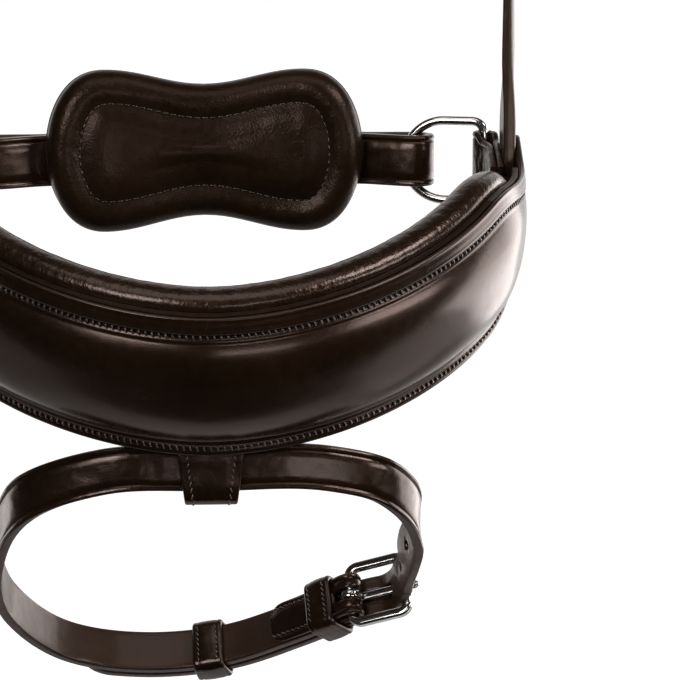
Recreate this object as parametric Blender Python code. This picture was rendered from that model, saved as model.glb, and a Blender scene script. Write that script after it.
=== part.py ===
"""A crank noseband with a flash strap, as it hangs from its head strap.

Metres, +Z up. +X is the horse's near (left) side and -Y the front of the nose. The origin is the
middle of the head strap's underside, where it lies on the poll.
"""

import math

import bmesh
import bpy
import numpy as np

# General
GAP = 0.0003                    # left between pieces that touch
FINE = 0.0005                   # spacing at which routes are sampled

# Nosepiece: its path lies in a plane that droops towards the front
NOSE_HALF_WIDTH = 0.0930
NOSE_DEPTH = 0.0911             # from the front to where the sides run straight
NOSE_FULLNESS = 1.81            # 2 is an ellipse
NOSE_DROOP = math.radians(27.7)
NECK_LENGTH = 0.0180            # straight stretch at each end, which holds the hangers
NECK_START = 0.010              # how far behind the path's centre the neck begins
PANEL_WIDTH = 0.0482
NECK_WIDTH = 0.0190
PANEL_TAPER = 0.044             # length over which the panel narrows to the neck
TAPER_END = 0.0160              # from the tip to where the neck has its full narrowness
TIP_ROUNDING = 0.0050
NOSE_LEATHER = 0.0022
BODY_RISE = 0.0046              # height of the raised body over its borders
TOP_BORDER = 0.0070
BOTTOM_BORDER = 0.0055
BACKING = 0.0014
PADDING_DEPTH = 0.0094
PADDING_END_DEPTH = 0.0066
PADDING_INSET = 0.0205          # from the nosepiece's tip to the end of its padding
PADDING_NARROWING = 0.0240      # length over which the padding narrows to its end
TOP_ROLL = 0.0036               # height of the padding's roll over the leather's edge
PAD_COVER = 0.0012

# Ring loops and D rings
RING_LOOP = 0.0018
RING_LOOP_WIDTH = 0.0150
RING_WIRE = 0.0028              # diameter
RING_HEIGHT = 0.0272
RING_LENGTH = 0.0244            # straight bar to the bow, centre to centre
RING_CORNER = 0.0035
RING_BAR_INBOARD = 0.0080       # bar, inward from the neck
RING_BAR_BACK = 0.0292          # bar, behind the centre of the nosepiece's path
RING_BAR_RISE = 0.0102
RING_YAW = math.radians(15)     # the rings' turn out of the straight crosswise line

# Head strap and cheek strap
POLL_HEIGHT = 0.480             # poll over the centre of the nosepiece's path
HANGER_BACK = 0.017             # hangers, behind the centre of the nosepiece's path
HANGER_LOW = 0.003
HEAD_STRAP = 0.0036
HEAD_STRAP_WIDTH = 0.014
CROWN_FLAT = 0.030
ARCH_HEIGHT = 0.100
CHEEK_BUCKLE_DOWN = 0.205       # hinge bar under the poll
HEAD_BILLET = 0.098             # billet under the hinge bar

# Buckles
BUCKLE_WIRE = 0.0030            # diameter
BUCKLE_LENGTH = 0.0182          # hinge bar to far bar, centre to centre
BUCKLE_PLAY = 0.00075           # between the strap's edge and the frame, each side
BUCKLE_CORNER = 0.0030
TONGUE_WIDTH = 0.0026
TONGUE_THICK = 0.0016
TONGUE_BEYOND = 0.0030          # past the far bar's centre
FOLD_LEATHER = 0.0018           # strap leather pared thin, where it goes round a bar
FLAP_LENGTH = 0.0300
KEEPER_WALL = 0.0016
FIXED_KEEPER_WIDTH = 0.0090
RUNNER_WIDTH = 0.0095
HOLE = 0.0034                   # diameter
HOLE_SIDES = 9
HOLE_PITCH = 0.0130

# Chin pad and chin straps
CHIN_STRAP = 0.0028
CHIN_STRAP_WIDTH = 0.0156
RING_FOLD_RADIUS = 0.0028       # inside of the strap's fold round a ring
OFF_FOLD_SLACK = 0.0007         # more room in the off fold, where the linkage is opened
CHIN_PAD_HALF = 0.0495
CHIN_PAD_WAIST = 0.0197         # half of its height in the middle
CHIN_PAD_LOBE = 0.0244          # half of its height at the lobes
CHIN_LOBE_AT = 0.031
CHIN_PAD_RISE = 0.0033          # the pad's middle over the strap's middle
CHIN_PAD_DEPTH = 0.0105
CHIN_CHANNEL = 0.0058           # sewn channel, in from the pad's outline
CHIN_BACKING = 0.0020
CHIN_BUCKLE_AT = 0.002          # hinge bar, to the off side of the middle
CHIN_MAIN_END = -0.022
CHIN_BILLET_END = 0.043
OFF_FLAP_END = 0.047

# Flash loop and flash strap
FLASH_STRAP = 0.0030
FLASH_WIDTH = 0.0130
FLASH_LOOP_LEATHER = 0.0015
FLASH_LOOP_TOP = 0.0190         # width at the nosepiece
FLASH_LOOP_BOTTOM = 0.0150      # width under the strap
FLASH_LOOP_UP = 0.0120          # how far it goes up between the layers
FLASH_EYE = 0.0052              # the loop's inner depth, for the strap's thickness
FLASH_EYE_UNDER = 0.0025        # under the strap
FLASH_BACK = 0.0156             # strap at the loop, behind the front of the nosepiece's path
FLASH_DROP = 0.0273             # strap's middle at the loop, under the front of the path
FLASH_SLOPE = math.radians(46)  # of the plane in which the strap's loop hangs
FLASH_LEAN = math.radians(5)    # the strap's lean at the flash loop
FLASH_BACK_LEAN = math.radians(42)
FLASH_AT_BUCKLE = (0.0425, 0.0720)
FLASH_BUCKLE_TURN = math.radians(-25)
# The strap's run onward from its buckle: across, and down the slope from the flash loop
FLASH_RUN = [(0.0614, 0.0625), (0.0636, 0.0585), (0.0640, 0.0530), (0.0630, 0.0440),
             (0.0617, 0.0340), (0.0580, 0.0203), (0.0487, 0.0071), (0.0340, 0.0008),
             (0.0, 0.0), (-0.0300, 0.0010), (-0.0530, 0.0145), (-0.0620, 0.0420),
             (-0.0600, 0.0720), (-0.0430, 0.0950), (-0.0180, 0.1020), (0.0020, 0.0990),
             (0.0260, 0.0845)]
FLASH_BILLET = 0.088

NOSE_CENTRE = np.array([0.0, -HANGER_BACK, -POLL_HEIGHT])
BACKING_BACK = -2 * GAP - BACKING
HANGER_X = NOSE_HALF_WIDTH - GAP - HEAD_STRAP / 2
FOLD_OUTSIDE = BUCKLE_WIRE / 2 + GAP + FOLD_LEATHER


def unit(rows):
    return rows / np.linalg.norm(rows, axis=-1, keepdims=True)


def smooth(value):
    value = np.clip(value, 0.0, 1.0)
    return value * value * (3 - 2 * value)


def eased(at, *knots):
    """A smooth value through knots of (place, value), level at each of them."""
    value = knots[0][1]
    for (start, low), (end, high) in zip(knots, knots[1:]):
        value = value + (high - low) * smooth((at - start) / (end - start))
    return value


def arc(centre, radius, start, end, count):
    """Points on a circle in a plane, by angles in degrees."""
    angles = np.radians(np.linspace(start, end, count))
    return [(centre[0] + radius * math.cos(a), centre[1] + radius * math.sin(a)) for a in angles]


class Route:
    """A centre line with the direction across it, measured in length from its zero point."""

    def __init__(self, points, across, zero=0):
        self.points = np.asarray(points, float)
        steps = np.linalg.norm(np.diff(self.points, axis=0), axis=1)
        marks = np.concatenate(([0.0], np.cumsum(steps)))
        self.marks = marks - marks[zero]
        self.start = self.marks[0]
        self.end = self.marks[-1]
        self.along = unit(np.gradient(self.points, self.marks, axis=0))
        across = np.broadcast_to(across, self.points.shape)
        lengthwise = np.sum(across * self.along, axis=1, keepdims=True)
        self.across = unit(across - lengthwise * self.along)

    def read(self, rows, at):
        return np.array([np.interp(at, self.marks, rows[:, axis]) for axis in range(3)])

    def frame(self, at):
        along = unit(self.read(self.along, at))
        across = self.read(self.across, at)
        across = unit(across - np.dot(across, along) * along)
        return self.read(self.points, at), along, across, np.cross(along, across)

    def place(self, at, aside, out):
        point, _, across, outward = self.frame(at)
        return point + across * aside + outward * out

    def stations(self, start, end, longest, turn=math.radians(14), sag=0.00018):
        """Places from start to end, closer together where the route bends or twists."""
        places = np.append(np.arange(start, end - FINE / 2, FINE), end)
        frames = [self.frame(at) for at in places]
        points = np.array([frame[0] for frame in frames])
        kept = [0]
        for k in range(2, len(places)):
            first = kept[-1]
            chord = unit(points[k] - points[first])
            between = points[first + 1:k] - points[first]
            off = between - np.outer(between @ chord, chord)
            bend = min(np.dot(frames[first][1], frames[k][1]),
                       np.dot(frames[first][2], frames[k][2]))
            if (np.max(np.linalg.norm(off, axis=1)) > sag or bend < math.cos(turn)
                    or places[k] - places[first] > longest):
                kept.append(k - 1)
        if len(kept) > 1 and end - places[kept[-1]] < 2 * FINE:
            kept.pop()
        return [places[k] for k in kept] + [end]


def beside(base, path):
    """A route through (place, out) points given along another route."""
    points = [base.place(at, 0.0, out) for at, out in path]
    across = [base.frame(at)[2] for at, _ in path]
    return Route(points, across)


def bend_centre(route, at, reach):
    """Centre of the circle through three places on a route, reach apart."""
    first, middle, last = [route.frame(at + step)[0] for step in (-reach, 0.0, reach)]
    u = middle - first
    v = last - first
    normal = np.cross(u, v)
    return first + np.cross(u @ u * v - v @ v * u, normal) / (2 * normal @ normal)


def spline(knots, count=12):
    """Points on a smooth curve through the knots."""
    knots = np.asarray(knots, float)
    steps = np.linalg.norm(np.diff(knots, axis=0), axis=1)
    slopes = np.diff(knots, axis=0) / steps[:, None]
    before = steps[:-1, None]
    after = steps[1:, None]
    middle = (slopes[:-1] * after + slopes[1:] * before) / (before + after)
    tangents = np.vstack((slopes[:1], middle, slopes[-1:]))
    points = []
    for k, step in enumerate(steps):
        for t in np.linspace(0, 1, count, endpoint=False):
            points.append((1 + 2 * t) * (1 - t)**2 * knots[k] + t**2 * (3 - 2 * t) * knots[k + 1]
                          + step * t * (1 - t)**2 * tangents[k]
                          - step * t**2 * (1 - t) * tangents[k + 1])
    return np.array(points + [knots[-1]])


def paint(name, colour, roughness, metallic=0.0):
    material = bpy.data.materials.new(name)
    material.use_nodes = True
    shader = material.node_tree.nodes["Principled BSDF"]
    shader.inputs["Base Color"].default_value = (*colour, 1.0)
    shader.inputs["Roughness"].default_value = roughness
    shader.inputs["Metallic"].default_value = metallic
    return material


def finish(name, shape, material):
    """Turns a bmesh into an object of this name, with its faces pointing out."""
    bmesh.ops.recalc_face_normals(shape, faces=shape.faces)
    mesh = bpy.data.meshes.new(name)
    shape.to_mesh(mesh)
    shape.free()
    mesh.shade_smooth()
    mesh.set_sharp_from_angle(angle=math.radians(40))
    mesh.materials.append(material)
    item = bpy.data.objects.new(name, mesh)
    bpy.context.collection.objects.link(item)
    return item


def bridge(shape, ring, other, closed=True):
    last = len(ring) if closed else len(ring) - 1
    for k in range(last):
        after = (k + 1) % len(ring)
        shape.faces.new((ring[k], ring[after], other[after], other[k]))


def sweep(name, route, stations, outline, material):
    """A solid whose section at each station is outline(at), a list of (aside, out)."""
    shape = bmesh.new()
    rings = []
    for at in stations:
        rings.append([shape.verts.new(route.place(at, w, n)) for w, n in outline(at)])
    for ring, other in zip(rings, rings[1:]):
        bridge(shape, ring, other)
    shape.faces.new(rings[0])
    shape.faces.new(rings[-1])
    return finish(name, shape, material)


def trough(name, route, stations, outer, inner, wall, material):
    """A skin between two open contours, closed at both ends and open at its front."""
    shape = bmesh.new()
    outside = []
    inside = []
    for at in stations:
        held = min(max(at, stations[0] + wall), stations[-1] - wall)
        outside.append([shape.verts.new(route.place(at, w, n)) for w, n in outer(at)])
        inside.append([shape.verts.new(route.place(held, w, n)) for w, n in inner(held)])
    for k in range(len(stations) - 1):
        bridge(shape, outside[k], outside[k + 1], closed=False)
        bridge(shape, inside[k], inside[k + 1], closed=False)
        for lip in (0, -1):
            shape.faces.new((outside[k][lip], outside[k + 1][lip],
                             inside[k + 1][lip], inside[k][lip]))
    for end in (0, -1):
        shape.faces.new(outside[end])
        shape.faces.new(inside[end])
        shape.faces.new((outside[end][0], inside[end][0], inside[end][-1], outside[end][-1]))
    return finish(name, shape, material)


def strap_section(width, thickness):
    """A strap's section, with its four edges taken off."""
    edge = min(0.0006, 0.3 * thickness)
    w = width / 2
    n = thickness / 2
    return [(-w, -n + edge), (-w + edge, -n), (w - edge, -n), (w, -n + edge),
            (w, n - edge), (w - edge, n), (-w + edge, n), (-w, n - edge)]


def strap(name, route, width, thickness, material, point=0.0, longest=0.014):
    """A flat strap along its whole route; point is the length of its shaped tip, if it has one."""
    stations = route.stations(route.start, route.end - point, longest)
    if point:
        stations += [route.end - point * left for left in (0.6, 0.3, 0.1, 0.0)]

    def outline(at):
        narrow = 1.0
        if point and at > route.end - point:
            reached = (at - route.end + point) / point
            narrow = 0.30 + 0.70 * math.sqrt(max(0.0, 1 - reached**2))
        thick = thickness(at) if callable(thickness) else thickness
        return strap_section(width * narrow, thick)

    return sweep(name, route, stations, outline, material)


def wire(name, centres, normal, radius, material, sides=8):
    """A closed ring of round wire; its centre line lies flat, square to normal."""
    shape = bmesh.new()
    rings = []
    normal = np.asarray(normal, float)
    for before, centre, after in zip(centres[-1:] + centres[:-1], centres,
                                     centres[1:] + centres[:1]):
        sideways = unit(np.cross(unit(after - before), normal))
        ring = []
        for k in range(sides):
            angle = 2 * math.pi * (k + 0.5) / sides
            ring.append(shape.verts.new(centre + radius * (math.cos(angle) * sideways
                                                           + math.sin(angle) * normal)))
        rings.append(ring)
    for ring, other in zip(rings, rings[1:] + rings[:1]):
        bridge(shape, ring, other)
    return finish(name, shape, material)


def keeper(name, route, start, length, width, low, high, material):
    """A leather band round a strap: a closed loop with rounded corners, its room given."""
    def corner_loop(grow):
        w = width / 2 + GAP + grow
        bend = 0.0008 + grow
        loop = []
        for centre_w, centre_n, first in ((w - bend, high + grow - bend, 0),
                                          (-w + bend, high + grow - bend, 90),
                                          (-w + bend, low - grow + bend, 180),
                                          (w - bend, low - grow + bend, 270)):
            loop += arc((centre_w, centre_n), bend, first, first + 90, 3)
        return loop

    shape = bmesh.new()
    rings = []
    for at in np.linspace(start, start + length, 3):
        inner = [shape.verts.new(route.place(at, w, n)) for w, n in corner_loop(0.0)]
        outer = [shape.verts.new(route.place(at, w, n)) for w, n in corner_loop(KEEPER_WALL)]
        rings.append((inner, outer))
    for (inner, outer), (next_inner, next_outer) in zip(rings, rings[1:]):
        bridge(shape, inner, next_inner)
        bridge(shape, outer, next_outer)
    for inner, outer in (rings[0], rings[-1]):
        bridge(shape, inner, outer)
    return finish(name, shape, material)


def cut(target, cutter):
    """Cuts one solid out of another; the cutter itself is only a guide."""
    cutter.hide_render = True
    cutter.display_type = "WIRE"
    boolean = target.modifiers.new("cut by " + cutter.name, "BOOLEAN")
    boolean.operation = "DIFFERENCE"
    boolean.object = cutter


def block_cutter(name, route, start, end, half_width, low, high):
    """A cutter that follows a route, to cut a slot or a recess."""
    box = [(-half_width, low), (half_width, low), (half_width, high), (-half_width, high)]
    count = max(2, int((end - start) / 0.004) + 1)
    return sweep(name, route, np.linspace(start, end, count), lambda at: box, guide)


def hole_cutter(name, route, places, depth):
    """Round cutters through a strap, one at each place along its route."""
    shape = bmesh.new()
    for at in places:
        point, along, across, out = route.frame(at)
        rings = []
        for level in (-depth, depth):
            ring = []
            for k in range(HOLE_SIDES):
                angle = 2 * math.pi * k / HOLE_SIDES
                ring.append(shape.verts.new(point + out * level + HOLE / 2 * (
                    math.cos(angle) * along + math.sin(angle) * across)))
            rings.append(ring)
            shape.faces.new(ring)
        bridge(shape, rings[0], rings[1])
    return finish(name, shape, guide)


def hang(item, pivot):
    """Parents a moving piece to the empty on its joint's axis."""
    item.parent = pivot
    item.matrix_parent_inverse = pivot.matrix_basis.inverted()


def pivot_at(name, place):
    pivot = bpy.data.objects.new(name, None)
    pivot.location = tuple(place)
    bpy.context.collection.objects.link(pivot)
    return pivot


for item in list(bpy.data.objects):
    bpy.data.objects.remove(item, do_unlink=True)

leather = paint("strap leather", (0.020, 0.013, 0.010), 0.42)
soft_leather = paint("padding leather", (0.024, 0.016, 0.013), 0.50)
raw_leather = paint("backing leather", (0.030, 0.019, 0.014), 0.60)
foam = paint("foam", (0.55, 0.52, 0.45), 0.90)
chrome = paint("chrome", (0.75, 0.75, 0.77), 0.12, 1.0)
guide = paint("guide", (0.2, 0.6, 0.9), 0.50)


# The nosepiece's path, from the off tip to the near tip, with across pointing up the panel
def nose_path():
    droop = np.array([0.0, math.cos(NOSE_DROOP), math.sin(NOSE_DROOP)])
    up = np.array([0.0, -math.sin(NOSE_DROOP), math.cos(NOSE_DROOP)])
    half = []
    for angle in np.radians(np.linspace(0, 90, 361)):
        x = NOSE_HALF_WIDTH * math.sin(angle) ** (2 / NOSE_FULLNESS)
        back = NECK_START - NOSE_DEPTH * math.cos(angle) ** (2 / NOSE_FULLNESS)
        half.append((x, back))
    for further in np.arange(FINE, NECK_LENGTH + FINE / 2, FINE):
        half.append((NOSE_HALF_WIDTH, NECK_START + further))
    whole = [(-x, back) for x, back in reversed(half[1:])] + half
    points = [NOSE_CENTRE + np.array([x, 0.0, 0.0]) + droop * back for x, back in whole]
    return Route(points, up, zero=len(half) - 1)


nose = nose_path()
NOSE_HALF = nose.end


def from_tip(at):
    return NOSE_HALF - abs(at)


def fullness(at):
    """1 where the panel has its full width and rise, 0 at the neck."""
    return smooth((from_tip(at) - TAPER_END) / PANEL_TAPER)


def panel_half(at):
    return NECK_WIDTH / 2 + (PANEL_WIDTH - NECK_WIDTH) / 2 * fullness(at)


def leather_half(at):
    """The outer leather's half width, with its tips rounded."""
    short = max(0.0, TIP_ROUNDING - from_tip(at))
    return panel_half(at) - TIP_ROUNDING + math.sqrt(TIP_ROUNDING**2 - short**2)


BODY_PLACES = (0.0, 0.05, 0.12, 0.22, 0.36, 0.50, 0.64, 0.78, 0.88, 0.95, 1.0)


def body_width(at, share):
    """Height on the panel of a share of the raised body's width."""
    half = leather_half(at)
    low = -half + min(BOTTOM_BORDER, 0.5 * half)
    high = half - min(TOP_BORDER, 0.5 * half)
    return low + (high - low) * share


def body_rise(at, share):
    return BODY_RISE * fullness(at) * (1 - abs(2 * share - 1) ** 3)


def leather_outline(at):
    half = leather_half(at)
    front = [(body_width(at, k), NOSE_LEATHER + body_rise(at, k)) for k in BODY_PLACES]
    back = [(body_width(at, k), body_rise(at, k)) for k in reversed(BODY_PLACES)]
    return ([(-half, 0.0), (-half, NOSE_LEATHER)] + front
            + [(half, NOSE_LEATHER), (half, 0.0)] + back)


def filler_outline(at):
    shares = (0.12, 0.25, 0.50, 0.75, 0.88)
    front = [(body_width(at, k), body_rise(at, k) - GAP) for k in shares]
    return [(body_width(at, 0.12), 0.0)] + front + [(body_width(at, 0.88), 0.0)]


def backing_outline(at):
    half = panel_half(at) - GAP
    return [(-half, BACKING_BACK), (half, BACKING_BACK), (half, -GAP), (-half, -GAP)]


def padding_depth(at):
    reach = smooth((from_tip(at) - PADDING_INSET) / PANEL_TAPER)
    return PADDING_END_DEPTH + (PADDING_DEPTH - PADDING_END_DEPTH) * reach


def padding_contour(at, inset):
    """The padding's outside from its upper to its lower front lip, drawn in by inset."""
    half = panel_half(at)
    depth = padding_depth(at)
    front = BACKING_BACK - GAP - inset
    back = BACKING_BACK - GAP - depth + inset
    middle = (front + back) / 2
    radius = (front - back) / 2
    closing = 0.55 + 0.45 * smooth((from_tip(at) - PADDING_INSET) / PADDING_NARROWING)
    reach = half * closing
    rise = (TOP_ROLL - inset) * closing
    lower = min(depth, 0.8 * reach) / 2
    bottom = -reach + 0.001 + lower
    contour = [(reach - min(0.004, 0.25 * reach), front)]
    for angle in (90, 60, 30, 0, -30, -60, -90):
        turn = math.radians(angle)
        contour.append((reach + rise * math.cos(turn), middle + radius * math.sin(turn)))
    contour.append(((reach + bottom) / 2, back))
    for angle in (-90, -50, -15, 15, 50, 90):
        turn = math.radians(angle)
        contour.append((bottom - (lower - inset) * math.cos(turn),
                        middle + radius * math.sin(turn)))
    contour.append((bottom + min(0.003, 0.2 * reach), front))
    return contour


def make_nosepiece():
    tips = [0.0, 0.0008, 0.0022, TIP_ROUNDING]
    inner = nose.stations(-NOSE_HALF + 0.009, NOSE_HALF - 0.009, 0.0080, math.radians(7))
    ends = [-NOSE_HALF + d for d in tips]
    stations = ends + inner + [-d for d in reversed(ends)]
    sweep("nosepiece_outer_leather", nose, stations, leather_outline, leather)

    reach = NOSE_HALF - 0.028
    sweep("nosepiece_filler", nose, nose.stations(-reach, reach, 0.011, math.radians(8)),
          filler_outline, foam)

    reach = NOSE_HALF - PADDING_INSET
    ends = 0.004
    shared = nose.stations(-reach + ends, reach - ends, 0.0105, math.radians(8))
    backing = sweep("nosepiece_backing", nose, [-reach] + shared + [reach], backing_outline,
                    raw_leather)
    foam_reach = reach - PAD_COVER - GAP
    stuffed = [-foam_reach] + shared + [foam_reach]
    cover = trough("nosepiece_padding_cover", nose, [-reach] + stuffed + [reach],
                   lambda at: padding_contour(at, 0.0),
                   lambda at: padding_contour(at, PAD_COVER), PAD_COVER, soft_leather)
    stuffing = sweep("nosepiece_padding_foam", nose, stuffed,
                     lambda at: padding_contour(at, PAD_COVER + GAP), foam)

    # Room for the flash loop's two ends between the layers
    low = -PANEL_WIDTH / 2 - 0.004
    high = -PANEL_WIDTH / 2 + FLASH_LOOP_UP + GAP
    room = [(low, -0.0054), (high, -0.0054), (high, 0.001), (low, 0.001)]
    reach = FLASH_LOOP_TOP / 2 + 0.0013
    cutter = sweep("flash_loop_room", nose, np.linspace(-reach, reach, 5),
                   lambda at: room, guide)
    for layer in (backing, cover, stuffing):
        cut(layer, cutter)


# Rings and their leather loops; side is 1 on the near side and -1 on the off side
def ring_bar(side):
    return NOSE_CENTRE + np.array([side * (NOSE_HALF_WIDTH - RING_BAR_INBOARD),
                                   RING_BAR_BACK, RING_BAR_RISE])


def ring_direction(side):
    """From the straight bar to the bow."""
    return np.array([-side * math.cos(RING_YAW), math.sin(RING_YAW), 0.0])


def make_ring(name, side):
    bow = RING_HEIGHT / 2 - RING_WIRE / 2
    flat = [(0.0, 0.0)]
    flat += arc((RING_CORNER, bow - RING_CORNER), RING_CORNER, 180, 90, 4)
    flat += arc((RING_LENGTH - bow, 0.0), bow, 90, -90, 15)
    flat += arc((RING_CORNER, -bow + RING_CORNER), RING_CORNER, -90, -180, 4)
    direction = ring_direction(side)
    upward = np.array([0.0, 0.0, 1.0])
    centres = [ring_bar(side) + direction * x + upward * z for x, z in flat]
    item = wire(name, centres, np.cross(direction, upward), RING_WIRE / 2, chrome)
    hang(item, pivot_at(name + "_pivot", ring_bar(side)))


def make_ring_loop(name, side):
    """Leather out of the neck, round the ring's straight bar and back into the neck."""
    tip = nose.frame(NOSE_HALF)
    lengthwise = tip[1]
    outer = -2 * GAP - HEAD_STRAP - RING_LOOP / 2
    inner = outer - RING_LOOP - GAP
    radius = RING_WIRE / 2 + GAP + RING_LOOP / 2
    bar = ring_bar(1)
    start = NECK_LENGTH - 0.001

    def in_neck(back, level):
        return tip[0] - lengthwise * back + np.array([level, 0.0, 0.0])

    def round_bar(angle):
        turn = math.radians(angle)
        return bar + radius * np.array([math.cos(turn), math.sin(turn), 0.0])

    knots = [in_neck(back, outer) for back in (start, 0.010, 0.004)]
    knots += [round_bar(angle) for angle in (15, 50, 90, 130, 172, 212)]
    knots += [in_neck(back, inner) for back in (0.004, 0.010, start)]
    points = spline(knots)
    # Seen from the side it starts on the neck's slope and levels out towards the bar
    slope = lengthwise[2] / lengthwise[1]
    reach = 2 * (bar[2] - points[0, 2]) / slope
    left = np.clip(1 - (points[:, 1] - points[0, 1]) / reach, 0.0, 1.0)
    points[:, 2] = bar[2] - slope * reach / 2 * left**2
    across = np.stack((np.zeros_like(left), -slope * left, np.ones_like(left)), axis=1)
    mirror = np.array([side, 1.0, 1.0])
    strap(name, Route(points * mirror, across * mirror), RING_LOOP_WIDTH, RING_LOOP, leather,
          longest=0.008)


# The flash loop: a strip out of the nosepiece's lower edge, under the strap and back in
def flash_middle():
    """The flash strap's middle inside the loop, on the nosepiece's centre line."""
    return nose.place(0.0, 0.0, 0.0) + np.array([0.0, FLASH_BACK, -FLASH_DROP])


def make_flash_loop():
    front, _, up, out = nose.frame(0.0)
    edge = front - up * PANEL_WIDTH / 2
    middle = flash_middle()
    half_eye = FLASH_EYE / 2 + FLASH_LOOP_LEATHER / 2
    bottom = middle[2] - FLASH_WIDTH / 2 - FLASH_EYE_UNDER + FLASH_EYE / 2
    outer_level = -0.0012 - FLASH_LOOP_LEATHER / 2
    inner_level = outer_level - FLASH_LOOP_LEATHER - GAP

    def between(height, level):
        return edge + up * height + out * level

    def under(y, z):
        return np.array([0.0, middle[1] + y, z])

    knots = [between(FLASH_LOOP_UP, outer_level), between(0.004, outer_level),
             between(0.0006, outer_level), under(-half_eye, middle[2] + 0.004),
             under(-half_eye, middle[2])]
    knots += [under(y, z) for y, z in arc((0.0, bottom), half_eye, 180, 360, 7)]
    over = middle[2] + FLASH_WIDTH / 2 + FLASH_LOOP_LEATHER / 2 + 0.0008
    knots += [under(half_eye, middle[2]), under(half_eye, over - 0.0028),
              under(half_eye - 0.0004, over - 0.0010), under(half_eye - 0.0014, over - 0.0001),
              under(half_eye - 0.0032, over),
              between(0.0010, inner_level), between(0.0035, inner_level),
              between(FLASH_LOOP_UP, inner_level)]
    route = Route(spline(knots), (1.0, 0.0, 0.0))
    lowest = bottom - half_eye

    def outline(at):
        height = route.read(route.points, at)[2]
        share = np.clip((height - lowest) / (edge[2] - lowest), 0.0, 1.0)
        width = FLASH_LOOP_BOTTOM + (FLASH_LOOP_TOP - FLASH_LOOP_BOTTOM) * share
        return strap_section(width, FLASH_LOOP_LEATHER)

    stations = route.stations(route.start, route.end, 0.007, math.radians(18))
    sweep("flash_loop", route, stations, outline, leather)


# Buckles
def make_buckle(prefix, hinge, far, across, strap_width, holder):
    """Frame and tongue; the frame goes from the hinge bar to the far bar, points in space."""
    along = unit(far - hinge)
    out = np.cross(along, across)
    half = strap_width / 2 + BUCKLE_PLAY + BUCKLE_WIRE / 2
    length = np.linalg.norm(far - hinge)
    bend = BUCKLE_CORNER
    flat = []
    for s, w, first in ((length - bend, half - bend, 0), (bend, half - bend, 90),
                        (bend, -half + bend, 180), (length - bend, -half + bend, 270)):
        flat += arc((s, w), bend, first, first + 90, 4)
    centres = [hinge + along * s + across * w for s, w in flat]
    hang(wire(prefix + "_frame", centres, out, BUCKLE_WIRE / 2, chrome), holder)

    level = BUCKLE_WIRE / 2 + GAP + TONGUE_THICK / 2
    curve = [(s, level) for s in np.linspace(length + TONGUE_BEYOND, 0.001, 8)]
    curve += arc((0.0, 0.0), level, 90, 375, 40)
    route = Route([hinge + along * s + out * n for s, n in curve], across)
    tongue = sweep(prefix + "_tongue", route,
                   route.stations(route.start, route.end, 0.030, math.radians(24)),
                   lambda at: strap_section(TONGUE_WIDTH, TONGUE_THICK), chrome)
    hang(tongue, pivot_at(prefix + "_tongue_pivot", hinge))


def tongue_room(name, hinge, far, across):
    """Cutter for the billet's hole, along the tongue so that it can tip in it."""
    along = unit(far - hinge)
    middle = (hinge + far) / 2
    reach = BUCKLE_LENGTH / 2 + 0.004
    route = Route([middle - along * reach, middle, middle + along * reach], across)
    low = BUCKLE_WIRE / 2 + GAP - 0.0005
    high = low + TONGUE_THICK + 0.0022
    return block_cutter(name, route, route.start, route.end, TONGUE_WIDTH / 2 + 0.0005,
                        low, high)


def slot_cutter(name, hinge, far, across):
    """Cutter for the slot in a strap's fold, in which the tongue turns."""
    along = unit(far - hinge)
    route = Route([hinge - along * 0.0048, hinge, hinge + along * 0.006], across)
    return block_cutter(name, route, route.start, route.end, TONGUE_WIDTH / 2 + 0.0005,
                        -0.006, 0.006)


def billet_level(at, thickness, settled):
    """How far out a billet lies along a buckle: under its far bar, over its hinge bar."""
    under = -(BUCKLE_WIRE / 2 + thickness / 2 + GAP + 0.0005)
    over = FOLD_OUTSIDE + thickness / 2 + GAP
    return eased(-at, (-BUCKLE_LENGTH - 0.002, under), (0.0, over), (0.012, settled))


def fold_path(start, thickness, flap):
    """A strap up to the hinge bar, round it and back as a flap, as (place, out) points."""
    outside = FOLD_OUTSIDE
    radius = BUCKLE_WIRE / 2 + GAP + FOLD_LEATHER / 2
    lengthwise = list(np.arange(start, 0.0, 0.001))
    path = [(at, outside - pared(at, thickness) / 2) for at in lengthwise]
    path += arc((0.0, 0.0), radius, 90, -90, 13)
    under = outside - thickness - GAP - FOLD_LEATHER / 2
    for back in np.arange(0.001, flap, 0.001):
        path.append((-back, eased(back, (0.001, -radius), (0.009, under))))
    return path


def pared(at, thickness):
    """The strap's thickness on its way to the fold at 0."""
    return eased(at, (-0.014, thickness), (-0.004, FOLD_LEATHER))


def fold_thickness(start, thickness, flap):
    """Thickness along a route made by fold_path, by length from its start."""
    def thick(at):
        if at < -start:
            return pared(at + start, thickness)
        left = -start + 0.008 + flap - at
        return FOLD_LEATHER * (0.45 + 0.55 * smooth(left / 0.010))
    return thick


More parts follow.
